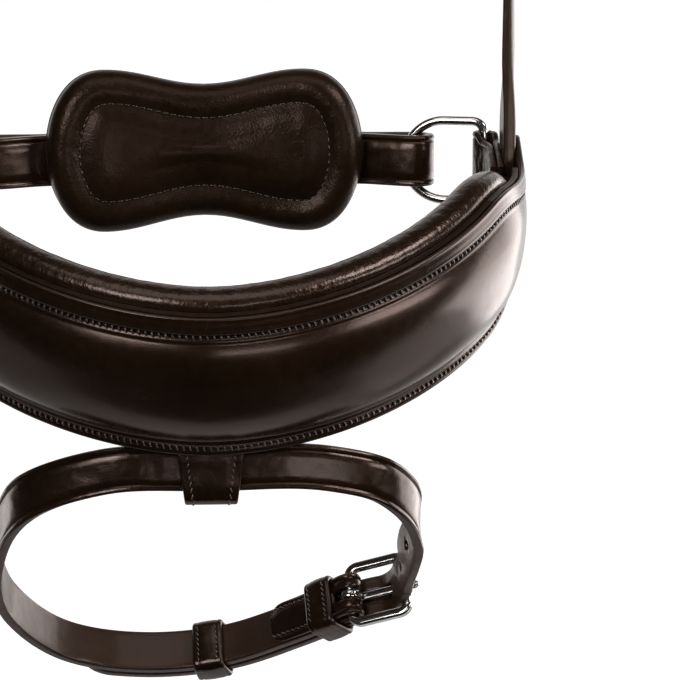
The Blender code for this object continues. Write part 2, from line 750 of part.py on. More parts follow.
# Head strap and cheek strap
def make_head_straps():
    low = -POLL_HEIGHT + HANGER_LOW
    top = HEAD_STRAP / 2
    flat = CROWN_FLAT / 2
    side = []
    for angle in np.radians(np.linspace(90, 0, 61)):
        side.append((flat + (HANGER_X - flat) * math.cos(angle),
                     top - ARCH_HEIGHT * (1 - math.sin(angle))))
    hinge_z = -CHEEK_BUCKLE_DOWN
    hinge_x = HANGER_X + HEAD_STRAP / 2 - FOLD_OUTSIDE
    near = list(side)
    settled = FOLD_OUTSIDE + HEAD_STRAP / 2 + GAP
    for z in np.arange(top - ARCH_HEIGHT - 0.002, hinge_z - HEAD_BILLET, -0.001):
        height = z - hinge_z
        level = billet_level(height, HEAD_STRAP, settled)
        straight = smooth((height - BUCKLE_LENGTH - 0.008) / 0.05)
        near.append((hinge_x + level + (HANGER_X - hinge_x - level) * straight, z))
    off = [(-x, z) for x, z in reversed(side)]
    off = [(-HANGER_X, z) for z in np.arange(low, off[0][1] - 0.002, 0.004)] + off
    route = Route([(x, 0.0, z) for x, z in off + near], (0.0, 1.0, 0.0))
    head = strap("head_strap", route, HEAD_STRAP_WIDTH, HEAD_STRAP, leather, point=0.010,
                 longest=0.045)

    hinge = np.array([hinge_x, 0.0, hinge_z])
    far = hinge + np.array([0.0, 0.0, BUCKLE_LENGTH])
    across = np.array([0.0, -1.0, 0.0])
    body = pivot_at("cheek_buckle_place", hinge)
    make_buckle("cheek_buckle", hinge, far, across, HEAD_STRAP_WIDTH, body)
    cut(head, tongue_room("cheek_tongue_room", hinge, far, across))
    places = [route.end - 0.024 - HOLE_PITCH * k for k in range(4)]
    cut(head, hole_cutter("head_strap_hole_cutters", route, places, HEAD_STRAP))

    base = Route([(hinge_x, 0.0, low), (hinge_x, 0.0, hinge_z), (hinge_x, 0.0, hinge_z + 0.1)],
                 across, zero=1)
    start = low - hinge_z
    path = fold_path(start, HEAD_STRAP, FLAP_LENGTH)
    cheek = strap("cheek_strap", beside(base, path), HEAD_STRAP_WIDTH,
                  fold_thickness(start, HEAD_STRAP, FLAP_LENGTH), leather, longest=0.045)
    cut(cheek, slot_cutter("cheek_slot_cutter", hinge, far, across))
    flap_back = FOLD_OUTSIDE - HEAD_STRAP - FOLD_LEATHER - 2 * GAP
    top_face = FOLD_OUTSIDE + HEAD_STRAP + 2 * GAP
    keeper("cheek_fixed_keeper", base, -0.021, FIXED_KEEPER_WIDTH, HEAD_STRAP_WIDTH,
           flap_back, top_face, leather)
    runner = keeper("cheek_runner", base, -0.072, RUNNER_WIDTH, HEAD_STRAP_WIDTH,
                    FOLD_OUTSIDE - HEAD_STRAP - GAP, top_face, leather)
    hang(runner, pivot_at("cheek_runner_place", base.place(-0.072, 0.0, 0.0)))


# Chin pad and chin straps: their route runs from the near to the off side, 0 in the middle
def chin_path():
    bow_x = NOSE_HALF_WIDTH - RING_BAR_INBOARD - RING_LENGTH * math.cos(RING_YAW)
    radius = bow_x / math.sin(RING_YAW)
    bow_y = RING_BAR_BACK + RING_LENGTH * math.sin(RING_YAW)
    reach = 0.095
    places = np.arange(-reach, reach + FINE / 2, FINE)
    points = []
    for s in places:
        x = -radius * math.sin(s / radius)
        y = bow_y + radius * (math.cos(s / radius) - math.cos(RING_YAW))
        points.append(NOSE_CENTRE + np.array([x, y, RING_BAR_RISE]))
    return Route(points, (0.0, 0.0, 1.0), zero=len(points) // 2), radius * RING_YAW


chin, BOW_AT = chin_path()
CHIN_STEP = CHIN_STRAP + GAP
CHIN_MAIN = -GAP / 2 - CHIN_STRAP / 2           # middle of the run that lies on the pad
CHIN_OVER = CHIN_MAIN + CHIN_STEP               # middle of the run over it
PAD_BACK = CHIN_MAIN - CHIN_STRAP / 2 - GAP


def fold_centre(slack):
    """Place of the fold round a ring: its leather clears the bow at the strap's edges."""
    bow = RING_HEIGHT / 2 - RING_WIRE / 2
    inside = math.sqrt((bow - RING_WIRE / 2) ** 2 - (CHIN_STRAP_WIDTH / 2) ** 2)
    return BOW_AT + bow - inside - RING_FOLD_RADIUS / 2 + slack


def ring_fold(slack):
    """The strap out to a ring, round it and back, as (distance from the middle, out)."""
    centre = fold_centre(slack)
    radius = RING_FOLD_RADIUS + CHIN_STRAP / 2
    spread = centre - 0.017

    def out_run(s):
        return eased(s, (spread, CHIN_MAIN), (centre - 0.001, -radius))

    def back_run(s):
        return eased(s, (spread, CHIN_OVER), (centre - 0.001, radius))

    return centre, arc((centre, 0.0), radius, -90, 90, 15), out_run, back_run


def make_chin_straps():
    hinge_level = PAD_BACK + GAP + FOLD_OUTSIDE
    far_level = CHIN_OVER + CHIN_STRAP / 2 + GAP + BUCKLE_WIRE / 2 + 0.0006
    lean = math.sqrt(BUCKLE_LENGTH**2 - (far_level - hinge_level) ** 2)
    hinge = chin.place(CHIN_BUCKLE_AT, 0.0, hinge_level)
    far = chin.place(CHIN_BUCKLE_AT - lean, 0.0, far_level)
    across = -chin.frame(0.0)[2]

    # Near strap: along the pad, round the near ring and back through the buckle
    centre, fold, out_run, back_run = ring_fold(0.0)
    path = [(-s, out_run(s)) for s in np.arange(-CHIN_MAIN_END, centre, 0.001)]
    path += [(-s, n) for s, n in fold]
    over = hinge_level + FOLD_OUTSIDE + GAP + CHIN_STRAP / 2 + 0.0003
    settled = CHIN_MAIN + CHIN_STRAP / 2 + FOLD_LEATHER + 2 * GAP + CHIN_STRAP / 2
    for s in np.arange(centre - 0.001, -CHIN_BILLET_END, -0.001):
        rise = eased(-s, (-0.0165, 0.0), (CHIN_BUCKLE_AT + 0.001, over - CHIN_OVER),
                     (CHIN_BUCKLE_AT + 0.0125, settled - CHIN_OVER))
        path.append((-s, back_run(s) + rise))
    near_route = beside(chin, path)
    near = strap("chin_strap_near", near_route, CHIN_STRAP_WIDTH, CHIN_STRAP, leather,
                 point=0.009)
    cut(near, tongue_room("crank_tongue_room", hinge, far, across))
    places = [near_route.end - 0.016 - HOLE_PITCH * k for k in range(2)]
    places += [near_route.end - 0.085 - HOLE_PITCH * k for k in range(2)]
    cut(near, hole_cutter("chin_strap_hole_cutters", near_route, places, CHIN_STRAP))

    # Off strap: sewn round the off ring, along the pad and round the buckle's hinge bar
    centre, fold, out_run, back_run = ring_fold(OFF_FOLD_SLACK)
    path = [(s, back_run(s)) for s in np.arange(OFF_FLAP_END, centre, 0.001)]
    path += [(s, n) for s, n in reversed(fold)]
    radius = BUCKLE_WIRE / 2 + GAP + FOLD_LEATHER / 2
    bottom = PAD_BACK + GAP
    for s in np.arange(centre - 0.001, CHIN_BUCKLE_AT, -0.001):
        thin = pared(CHIN_BUCKLE_AT - s, CHIN_STRAP)
        path.append((s, out_run(s) - (CHIN_STRAP - thin) / 2))
    path += [(CHIN_BUCKLE_AT - s, n) for s, n in arc((0.0, hinge_level), radius, -90, 90, 13)]
    top = CHIN_MAIN + CHIN_STRAP / 2 + GAP + FOLD_LEATHER / 2
    for back in np.arange(0.001, FLAP_LENGTH - 0.004, 0.001):
        path.append((CHIN_BUCKLE_AT + back,
                     eased(back, (0.001, hinge_level + radius), (0.010, top))))
    off_route = beside(chin, path)
    end = off_route.end

    def off_thickness(at):
        left = end - at
        round_bar = FLAP_LENGTH - 0.004 + math.pi * radius
        if left > round_bar:
            return pared(round_bar - left, CHIN_STRAP)
        return FOLD_LEATHER * (0.45 + 0.55 * smooth(left / 0.010))

    off = strap("chin_strap_off", off_route, CHIN_STRAP_WIDTH, off_thickness, leather)
    cut(off, slot_cutter("crank_slot_cutter", hinge, far, across))

    body = pivot_at("chin_place", chin.place(-BOW_AT, 0.0, 0.0))
    make_buckle("crank_buckle", hinge, far, across, CHIN_STRAP_WIDTH, body)
    ceiling = settled + CHIN_STRAP / 2 + GAP
    fixed = keeper("crank_fixed_keeper", chin, CHIN_BUCKLE_AT + 0.0130, FIXED_KEEPER_WIDTH,
                   CHIN_STRAP_WIDTH, bottom - GAP, ceiling, leather)
    runner = keeper("crank_runner", chin, CHIN_BUCKLE_AT + 0.0285, RUNNER_WIDTH,
                    CHIN_STRAP_WIDTH, bottom - GAP, ceiling, leather)
    hang(runner, pivot_at("crank_runner_place", chin.place(0.0, 0.0, 0.0)))
    for item in (near, off, fixed):
        hang(item, body)
    return body


def pad_ring(shape, inset, level, count=40):
    """The chin pad's outline, drawn in by inset, as a ring of corners at this level."""
    ring = []
    half = CHIN_PAD_HALF - inset
    for k in range(count):
        angle = 2 * math.pi * k / count
        s = half * math.copysign(abs(math.cos(angle)) ** 0.85, math.cos(angle))
        lobe = math.sin(min(1.0, abs(s) / CHIN_LOBE_AT) * math.pi / 2) ** 2
        height = CHIN_PAD_WAIST - inset + (CHIN_PAD_LOBE - CHIN_PAD_WAIST) * lobe
        beyond = max(0.0, abs(s) - CHIN_LOBE_AT) / (half - CHIN_LOBE_AT)
        height *= math.sqrt(max(0.0, 1 - beyond**2.3))
        w = math.copysign(height, math.sin(angle)) if k % (count // 2) else 0.0
        ring.append(shape.verts.new(chin.place(s, CHIN_PAD_RISE + w, level)))
    return ring


def pad_face(shape, ring):
    """Fills a ring crosswise, so that the face follows the pad's curve."""
    half = len(ring) // 2
    shape.faces.new((ring[0], ring[1], ring[-1]))
    for k in range(1, half - 1):
        shape.faces.new((ring[k], ring[k + 1], ring[-k - 1], ring[-k]))
    shape.faces.new((ring[half - 1], ring[half], ring[half + 1]))


def pad_dome(shape, inset):
    """The pad's back with its sewn channel, drawn in by inset; returns the rim."""
    rim = PAD_BACK - CHIN_BACKING - GAP
    profile = ((0.0, 0.0), (0.0, 0.30), (0.0006, 0.52), (0.0022, 0.68), (0.0042, 0.70),
               (CHIN_CHANNEL, 0.54), (CHIN_CHANNEL + 0.0018, 0.72), (0.0110, 0.94), (0.0150, 1.0))
    rings = []
    for aside, share in profile:
        level = rim - CHIN_PAD_DEPTH * share
        if share:
            level += inset
        rings.append(pad_ring(shape, aside + inset * (1 - smooth(aside / CHIN_CHANNEL)), level))
    for ring, other in zip(rings, rings[1:]):
        bridge(shape, ring, other)
    pad_face(shape, rings[-1])
    return rings[0]


def make_chin_pad(body):
    shape = bmesh.new()
    bridge(shape, pad_dome(shape, 0.0), pad_dome(shape, PAD_COVER))
    cover = finish("chin_pad_cover", shape, soft_leather)

    shape = bmesh.new()
    pad_face(shape, pad_dome(shape, PAD_COVER + GAP))
    stuffing = finish("chin_pad_foam", shape, foam)

    shape = bmesh.new()
    faces = [pad_ring(shape, 0.0, level) for level in (PAD_BACK, PAD_BACK - CHIN_BACKING)]
    bridge(shape, faces[0], faces[1])
    pad_face(shape, faces[0])
    pad_face(shape, faces[1])
    backing = finish("chin_pad_backing", shape, raw_leather)
    half = CHIN_STRAP_WIDTH / 2 + KEEPER_WALL + 2 * GAP
    for name, start, length in (("fixed_keeper_room", 0.0130, FIXED_KEEPER_WIDTH),
                                ("runner_room", 0.0250, RUNNER_WIDTH + 0.0070)):
        start += CHIN_BUCKLE_AT
        cut(backing, block_cutter(name, chin, start - GAP, start + length + GAP, half,
                                  PAD_BACK - CHIN_BACKING - 0.001, PAD_BACK + 0.001))
    for item in (cover, stuffing, backing):
        hang(item, body)


# Flash strap: a loop that hangs in its own slope; its route starts at the buckle
def flash_path():
    slope = np.array([0.0, math.cos(FLASH_SLOPE), -math.sin(FLASH_SLOPE)])
    x, q = FLASH_AT_BUCKLE
    far = (x + BUCKLE_LENGTH * math.cos(FLASH_BUCKLE_TURN),
           q + BUCKLE_LENGTH * math.sin(FLASH_BUCKLE_TURN))
    knots = [FLASH_AT_BUCKLE, far] + FLASH_RUN
    turn = 12 * len(knots)
    flat = spline(knots * 2 + knots[:2])[:2 * turn + 1]
    points = []
    across = []
    for x, q in flat:
        lean = FLASH_LEAN + (FLASH_BACK_LEAN - FLASH_LEAN) * smooth(q / 0.095)
        points.append(flash_middle() + np.array([x, 0.0, 0.0]) + slope * q)
        across.append((0.0, -math.sin(lean), -math.cos(lean)))
    route = Route(points, across, zero=turn)
    return route, route.end


def make_flash():
    base, around = flash_path()
    holder = pivot_at("flash_place", flash_middle())
    hinge = base.place(0.0, 0.0, 0.0)
    far = base.place(BUCKLE_LENGTH, 0.0, 0.0)
    across = base.frame(BUCKLE_LENGTH / 2)[2]
    make_buckle("flash_buckle", hinge, far, across, FLASH_WIDTH, holder)

    # From the billet's point through the buckle, round the loop and into the fold
    settled = FOLD_OUTSIDE + FLASH_STRAP / 2 + GAP
    under = billet_level(BUCKLE_LENGTH + 0.01, FLASH_STRAP, settled)
    main = FOLD_OUTSIDE - FLASH_STRAP / 2
    start = around - 0.030
    points = []
    sides = []
    for at in np.arange(-FLASH_BILLET, start, 0.001):
        level = billet_level(at, FLASH_STRAP, settled)
        level += eased(at, (BUCKLE_LENGTH + 0.006, 0.0), (BUCKLE_LENGTH + 0.050, -under),
                       (around - 0.125, -under), (around - 0.075, main - under))
        points.append(base.place(at, 0.0, level))
        sides.append(base.frame(at)[2])
    for at, out in fold_path(-0.030, FLASH_STRAP, FLAP_LENGTH):
        lower = min(at, 0.0)
        frame = base.frame(lower)
        points.append(frame[0] + frame[3] * out + frame[1] * (at - lower))
        sides.append(frame[2])
    route = Route(points[::-1], [-side for side in sides[::-1]])
    flap_and_fold = FLAP_LENGTH + 0.0085

    def thickness(at):
        if at < flap_and_fold:
            return FOLD_LEATHER * (0.45 + 0.55 * smooth(at / 0.010))
        return eased(at - flap_and_fold, (0.004, FOLD_LEATHER), (0.014, FLASH_STRAP))

    band = strap("flash_strap", route, FLASH_WIDTH, thickness, leather, point=0.009,
                 longest=0.013)
    cut(band, tongue_room("flash_tongue_room", hinge, far, across))
    cut(band, slot_cutter("flash_slot_cutter", hinge, far, across))
    places = [route.end - 0.020 - HOLE_PITCH * k for k in range(4)]
    places += [route.end - FLASH_BILLET - 0.034 - HOLE_PITCH * k for k in range(2)]
    cut(band, hole_cutter("flash_strap_hole_cutters", route, places, FLASH_STRAP))

    flap_back = -FOLD_OUTSIDE + 0.0007      # where the flap leaves the bar
    top_face = FOLD_OUTSIDE + FLASH_STRAP + 2 * GAP
    fixed = keeper("flash_fixed_keeper", base, -0.0140, FIXED_KEEPER_WIDTH, FLASH_WIDTH,
                   flap_back, top_face, leather)
    runner_at = -0.0560
    runner = keeper("flash_runner", base, runner_at, RUNNER_WIDTH, FLASH_WIDTH,
                    FOLD_OUTSIDE - FLASH_STRAP - GAP, top_face, leather)
    middle = runner_at + RUNNER_WIDTH / 2
    hang(runner, pivot_at("flash_runner_place", bend_centre(base, middle, 0.008)))
    for item in (band, fixed):
        hang(item, holder)


make_nosepiece()
for side, word in ((1, "near"), (-1, "off")):
    make_ring_loop(word + "_ring_loop", side)
    make_ring(word + "_d_ring", side)
make_flash_loop()
make_head_straps()
make_chin_pad(make_chin_straps())
make_flash()
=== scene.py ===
"""The looks of a crank noseband with a flash strap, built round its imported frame.

Metres, +Z up. +X is the horse's near (left) side and -Y the front of the nose. The origin is the
middle of the head strap's underside, where it lies on the poll.
"""

import math

import bmesh
import bpy
import numpy as np
from mathutils import Matrix, Vector, noise


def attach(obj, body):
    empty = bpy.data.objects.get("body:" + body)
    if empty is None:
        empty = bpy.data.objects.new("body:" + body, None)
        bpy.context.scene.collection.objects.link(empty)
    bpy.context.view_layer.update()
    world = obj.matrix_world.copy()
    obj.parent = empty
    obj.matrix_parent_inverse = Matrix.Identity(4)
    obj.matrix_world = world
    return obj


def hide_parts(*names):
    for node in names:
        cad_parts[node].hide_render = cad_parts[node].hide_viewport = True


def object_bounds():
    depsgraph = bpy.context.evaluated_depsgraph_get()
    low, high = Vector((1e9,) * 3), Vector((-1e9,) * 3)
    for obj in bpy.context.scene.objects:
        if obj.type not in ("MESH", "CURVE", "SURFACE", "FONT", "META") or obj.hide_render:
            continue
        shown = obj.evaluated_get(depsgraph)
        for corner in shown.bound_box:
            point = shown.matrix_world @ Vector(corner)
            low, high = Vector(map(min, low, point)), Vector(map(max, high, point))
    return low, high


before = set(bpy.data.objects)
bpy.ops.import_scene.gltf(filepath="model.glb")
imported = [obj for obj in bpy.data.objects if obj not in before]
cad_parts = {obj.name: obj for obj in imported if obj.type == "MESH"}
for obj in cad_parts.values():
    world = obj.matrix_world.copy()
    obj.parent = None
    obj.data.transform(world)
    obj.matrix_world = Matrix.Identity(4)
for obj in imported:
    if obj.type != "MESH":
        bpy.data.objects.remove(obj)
cad_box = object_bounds()

# General
GAP = 0.0003  # left between pieces that touch
FINE = 0.0005  # spacing at which routes are sampled

# Nosepiece: its path lies in a plane that droops towards the front
NOSE_HALF_WIDTH = 0.0930
NOSE_DEPTH = 0.0911  # from the front to where the sides run straight
NOSE_FULLNESS = 1.81  # 2 is an ellipse
NOSE_DROOP = math.radians(27.7)
NECK_LENGTH = 0.0180  # straight stretch at each end, which holds the hangers
NECK_START = 0.010  # how far behind the path's centre the neck begins
PANEL_WIDTH = 0.0482
NECK_WIDTH = 0.0190
PANEL_TAPER = 0.044  # length over which the panel narrows to the neck
TAPER_END = 0.0160  # from the tip to where the neck has its full narrowness
TIP_ROUNDING = 0.0050
NOSE_LEATHER = 0.0022
BODY_RISE = 0.0046  # height of the raised body over its borders
TOP_BORDER = 0.0070
BOTTOM_BORDER = 0.0055
BACKING = 0.0014
PADDING_DEPTH = 0.0094
PADDING_END_DEPTH = 0.0066
PADDING_INSET = 0.0205  # from the nosepiece's tip to the end of its padding
PADDING_NARROWING = 0.0240  # length over which the padding narrows to its end
TOP_ROLL = 0.0036  # height of the padding's roll over the leather's edge
PAD_COVER = 0.0012
TOP_STITCHES = 0.0059  # stitch line, under the upper edge
BOTTOM_STITCHES = 0.0026  # stitch line, over the lower edge
PADDING_CROWN = 0.0005  # height of the padding's arch against the nose
PADDING_END = 0.0030  # length over which the padding's end is rounded
EDGE_DROP = 0.00100  # how far the outer leather falls off towards its upper edge
EDGE_DROP_WIDTH = 0.0034
# Grooves and ridges by the stitch lines: height, distance from the edge, half width
TOP_WORK = ((-0.00050, TOP_STITCHES, 0.00115), (0.00036, TOP_STITCHES - 0.0018, 0.0010),
            (0.00022, TOP_STITCHES + 0.0013, 0.0007))
BOTTOM_WORK = ((-0.00042, BOTTOM_STITCHES, 0.0010), (0.00024, BOTTOM_STITCHES - 0.0016, 0.0009),
               (0.00014, BOTTOM_STITCHES + 0.0016, 0.0007))
# Where the outer leather's section has its points, in from the edges, and their count between
TOP_SAMPLES = (0.0010, 0.0015, 0.0021, 0.0027, 0.0032, 0.0036, 0.0040, 0.0044, 0.0047, 0.0050,
               0.0053, 0.0056, 0.0059, 0.0062, 0.0065, 0.0068, 0.0071, 0.0074, 0.0077, 0.0081)
BOTTOM_SAMPLES = (0.0009, 0.0012, 0.0015, 0.0018, 0.0021, 0.0024, 0.0027, 0.0030, 0.0033,
                  0.0036, 0.0040, 0.0044, 0.0049, 0.0055, 0.0060)
BODY_SAMPLES = 26

# Ring loops and D rings
RING_LOOP = 0.0018
RING_LOOP_WIDTH = 0.0150
RING_LOOP_FLARE = 0.0035  # how much wider the loop is round the bar
RING_WIRE = 0.0028  # diameter
RING_HEIGHT = 0.0272
RING_LENGTH = 0.0244  # straight bar to the bow, centre to centre
RING_CORNER = 0.0035
RING_BAR_INBOARD = 0.0080  # bar, inward from the neck
RING_BAR_BACK = 0.0292  # bar, behind the centre of the nosepiece's path
RING_BAR_RISE = 0.0102
RING_YAW = math.radians(15)  # the rings' turn out of the straight crosswise line

# Head strap and cheek strap
POLL_HEIGHT = 0.480  # poll over the centre of the nosepiece's path
HANGER_BACK = 0.017  # hangers, behind the centre of the nosepiece's path
HANGER_LOW = 0.003
HEAD_STRAP = 0.0036
HEAD_STRAP_WIDTH = 0.014
CROWN_FLAT = 0.030
ARCH_HEIGHT = 0.100
CHEEK_BUCKLE_DOWN = 0.205  # hinge bar under the poll
HEAD_BILLET = 0.098  # billet under the hinge bar
CHEEK_TURN = math.radians(8.5)  # the cheek strap's turn where it hangs free
CHEEK_WEAR = 0.0011  # how much thinner the cheek strap is where it hangs free

# Buckles
BUCKLE_WIRE = 0.0030  # diameter
BUCKLE_LENGTH = 0.0182  # hinge bar to far bar, centre to centre
BUCKLE_PLAY = 0.00075  # between the strap's edge and the frame, each side
BUCKLE_CORNER = 0.0030
TONGUE_WIDTH = 0.0026
TONGUE_THICK = 0.0016
TONGUE_BEYOND = 0.0030  # past the far bar's centre
TONGUE_LIFT = 0.0031  # room over the tongue, in which it tips
FOLD_LEATHER = 0.0018  # strap leather pared thin, where it goes round a bar
FLAP_LENGTH = 0.0300
KEEPER_WALL = 0.0016
KEEPER_CORNER = 0.0014  # inside radius
FIXED_KEEPER_WIDTH = 0.0090
RUNNER_WIDTH = 0.0095
HOLE = 0.0034  # diameter
HOLE_PITCH = 0.0130

# Chin pad and chin straps
CHIN_STRAP = 0.0028
CHIN_STRAP_WIDTH = 0.0156
RING_FOLD_RADIUS = 0.0028  # inside of the strap's fold round a ring
OFF_FOLD_SLACK = 0.0007
CHIN_PAD_HALF = 0.0495
CHIN_PAD_WAIST = 0.0197  # half of its height in the middle
CHIN_PAD_LOBE = 0.0244  # half of its height at the lobes
CHIN_LOBE_AT = 0.031
CHIN_PAD_RISE = 0.0033  # the pad's middle over the strap's middle
CHIN_PAD_DEPTH = 0.0105
CHIN_CHANNEL = 0.0094  # sewn channel, in from the pad's outline
CHIN_CHANNEL_SHARE = 0.69  # height at the channel, as a share of the pad's depth
CHIN_CROWN = 0.0010  # height of the pad's arch inside the channel
CHIN_BACKING = 0.0020
CHIN_BUCKLE_AT = 0.002  # hinge bar, to the off side of the middle
CRANK_KEEPER_AT = 0.0130  # fixed keeper, from the hinge bar
CRANK_RUNNER_AT = 0.0285
CHIN_REACH = 0.095  # half the length of the chin straps' route
CHIN_MAIN_END = -0.022
CHIN_BILLET_END = 0.043
OFF_FLAP_END = 0.047

# Flash loop and flash strap
FLASH_STRAP = 0.0030
FLASH_WIDTH = 0.0130
FLASH_LOOP_LEATHER = 0.0015
FLASH_LOOP_TOP = 0.0190  # width at the nosepiece
FLASH_LOOP_BOTTOM = 0.0150  # width under the strap
FLASH_LOOP_UP = 0.0120  # how far it goes up between the layers
FLASH_EYE = 0.0052  # the loop's inner depth, for the strap's thickness
FLASH_EYE_UNDER = 0.0025  # under the strap
FLASH_BACK = 0.0156  # strap at the loop, behind the front of the nosepiece's path
FLASH_DROP = 0.0273  # strap's middle at the loop, under the front of the path
FLASH_SLOPE = math.radians(46)  # of the plane in which the strap's loop hangs
FLASH_LEAN = math.radians(5)  # the strap's lean at the flash loop
FLASH_BACK_LEAN = math.radians(42)
FLASH_AT_BUCKLE = (0.0425, 0.0720)
FLASH_BUCKLE_TURN = math.radians(-25)
# The strap's run onward from its buckle: across, and down the slope from the flash loop
FLASH_RUN = [(0.0608, 0.0622), (0.0618, 0.0582), (0.0616, 0.0530), (0.0613, 0.0440),
             (0.0612, 0.0340), (0.0580, 0.0203), (0.0487, 0.0071), (0.0340, 0.0008),
             (0.0, 0.0), (-0.0300, 0.0010), (-0.0530, 0.0145), (-0.0620, 0.0420),
             (-0.0600, 0.0720), (-0.0430, 0.0950), (-0.0180, 0.1020), (0.0020, 0.0990),
             (0.0260, 0.0845)]
FLASH_BILLET = 0.088
FLASH_ROLL = math.radians(16)  # the strap's roll where it turns back to the buckle

# Thread
STITCH_PITCH = 0.00185
STITCH_LENGTH = 0.0016
STITCH_SLANT = math.radians(105)  # out of the line's direction
THREAD = 0.00062  # diameter
STRAP_PITCH = 0.0018  # of the stitches on straps
STRAP_STITCH = 0.0014  # length of a stitch on straps
STRAP_SLANT = math.radians(20)
STRAP_THREAD = 0.00045

# Leather: the crease line by a strap's edges, and the colours of edges and flesh side
CREASE_IN = 0.0019  # in from the edge
CREASE_HALF = 0.00055
CREASE_DEPTH = 0.00030
CREASE_SWELL = 0.00010  # height of the leather between crease and edge
EDGE_COLOUR = (0.022, 0.011, 0.006)
FLESH_COLOUR = (0.034, 0.018, 0.010)
SOFT_COLOURS = ((0.0095, 0.0046, 0.0018), (0.0190, 0.0098, 0.0050))
GRAIN = 0.0  # marks of a leather surface, kept with each corner
EDGE = 1.0
FLESH = 2.0

# Meshes
MERGED = 0.000003  # corners nearer than this are one
SHARP_FROM = math.radians(60)
START_SHARES = (0.0, 0.03, 0.1, 0.22, 0.4, 0.65)  # sections along a strap's rounded start
POINT_SHARES = (0.85, 0.7, 0.55, 0.42, 0.3, 0.2, 0.12, 0.06, 0.02, 0.0)  # and along its point

# Camera, floor and light
CAMERA_YAW = math.radians(-3)
CAMERA_PITCH = math.radians(11)
FOCAL_PIXELS = 3430.7
PICTURE = 680
NOSE_PIXEL = (206.42, 211.14)  # where the nosepiece's centre shows
CAMERA_DISTANCE = 1.015
FLOOR_DROP = 0.90  # floor under the object's lowest point
FLOOR_HALF = 6.0
FLOOR_FRONT = -0.20  # the floor's front edge
GLOW_FROM = 0.9  # the floor turns white from here on
GLOW_FULL = 1.9
LAMPS_AIM = (0.0, -0.05, -0.50)
WARM = (1.0, 0.95, 0.94)

NOSE_CENTRE = np.array([0.0, -HANGER_BACK, -POLL_HEIGHT])
BACKING_BACK = -2 * GAP - BACKING
HANGER_X = NOSE_HALF_WIDTH - GAP - HEAD_STRAP / 2
RING_BOW = (RING_HEIGHT - RING_WIRE) / 2  # radius, to the wire's middle
FOLD_OUTSIDE = BUCKLE_WIRE / 2 + GAP + FOLD_LEATHER
FOLD_RADIUS = BUCKLE_WIRE / 2 + GAP + FOLD_LEATHER / 2


def unit(rows):
    return rows / np.linalg.norm(rows, axis=-1, keepdims=True)


def smooth(value):
    value = np.clip(value, 0.0, 1.0)
    return value * value * (3 - 2 * value)


def bump(distance, half):
    """A rounded hump: 1 at distance 0, 0 from half on."""
    return smooth(1 - abs(distance) / half)


def eased(at, *knots):
    """A smooth value through knots of (place, value), level at each of them."""
    value = knots[0][1]
    for (start, low), (end, high) in zip(knots, knots[1:]):
        value = value + (high - low) * smooth((at - start) / (end - start))
    return value


def arc(centre, radius, start, end, count):
    """Points on a circle in a plane, by angles in degrees."""
    angles = np.radians(np.linspace(start, end, count))
    return [(centre[0] + radius * math.cos(a), centre[1] + radius * math.sin(a)) for a in angles]


class Route:
    """A centre line with the direction across it, measured in length from its zero point."""

    def __init__(self, points, across, zero=0):
        self.points = np.asarray(points, float)
        steps = np.linalg.norm(np.diff(self.points, axis=0), axis=1)
        marks = np.concatenate(([0.0], np.cumsum(steps)))
        self.marks = marks - marks[zero]
        self.start = self.marks[0]
        self.end = self.marks[-1]
        self.along = unit(np.gradient(self.points, self.marks, axis=0))
        across = np.broadcast_to(across, self.points.shape)
        lengthwise = np.sum(across * self.along, axis=1, keepdims=True)
        self.across = unit(across - lengthwise * self.along)

    def read(self, rows, at):
        return np.array([np.interp(at, self.marks, rows[:, axis]) for axis in range(3)])

    def frame(self, at):
        along = unit(self.read(self.along, at))
        across = self.read(self.across, at)
        across = unit(across - np.dot(across, along) * along)
        return self.read(self.points, at), along, across, np.cross(along, across)

    def place(self, at, aside, out):
        point, _, across, outward = self.frame(at)
        return point + across * aside + outward * out

    def stations(self, start, end, longest, turn=math.radians(3)):
        """Places from start to end, closer together where the route bends."""
        places = np.append(np.arange(start, end - FINE / 2, FINE), end)
        frames = [self.frame(at) for at in places]
        kept = [0]
        for k in range(1, len(places)):
            first = kept[-1]
            bend = min(np.dot(frames[first][1], frames[k][1]),
                       np.dot(frames[first][2], frames[k][2]))
            if bend < math.cos(turn) or places[k] - places[first] > longest:
                kept.append(k)
        if places[kept[-1]] != end:
            kept.append(len(places) - 1)
        return [places[k] for k in kept]


def beside(base, path):
    """A route through (place, out) points given along another route."""
    points = [base.place(at, 0.0, out) for at, out in path]
    across = [base.frame(at)[2] for at, _ in path]
    return Route(points, across)


def spline(knots, count=12):
    """Points on a smooth curve through the knots."""
    knots = np.asarray(knots, float)
    steps = np.linalg.norm(np.diff(knots, axis=0), axis=1)
    slopes = np.diff(knots, axis=0) / steps[:, None]
    before = steps[:-1, None]
    after = steps[1:, None]
    middle = (slopes[:-1] * after + slopes[1:] * before) / (before + after)
    tangents = np.vstack((slopes[:1], middle, slopes[-1:]))
    points = []
    for k, step in enumerate(steps):
        for t in np.linspace(0, 1, count, endpoint=False):
            points.append((1 + 2 * t) * (1 - t)**2 * knots[k] + t**2 * (3 - 2 * t) * knots[k + 1]
                          + step * t * (1 - t)**2 * tangents[k]
                          - step * t**2 * (1 - t) * tangents[k + 1])
    return np.array(points + [knots[-1]])


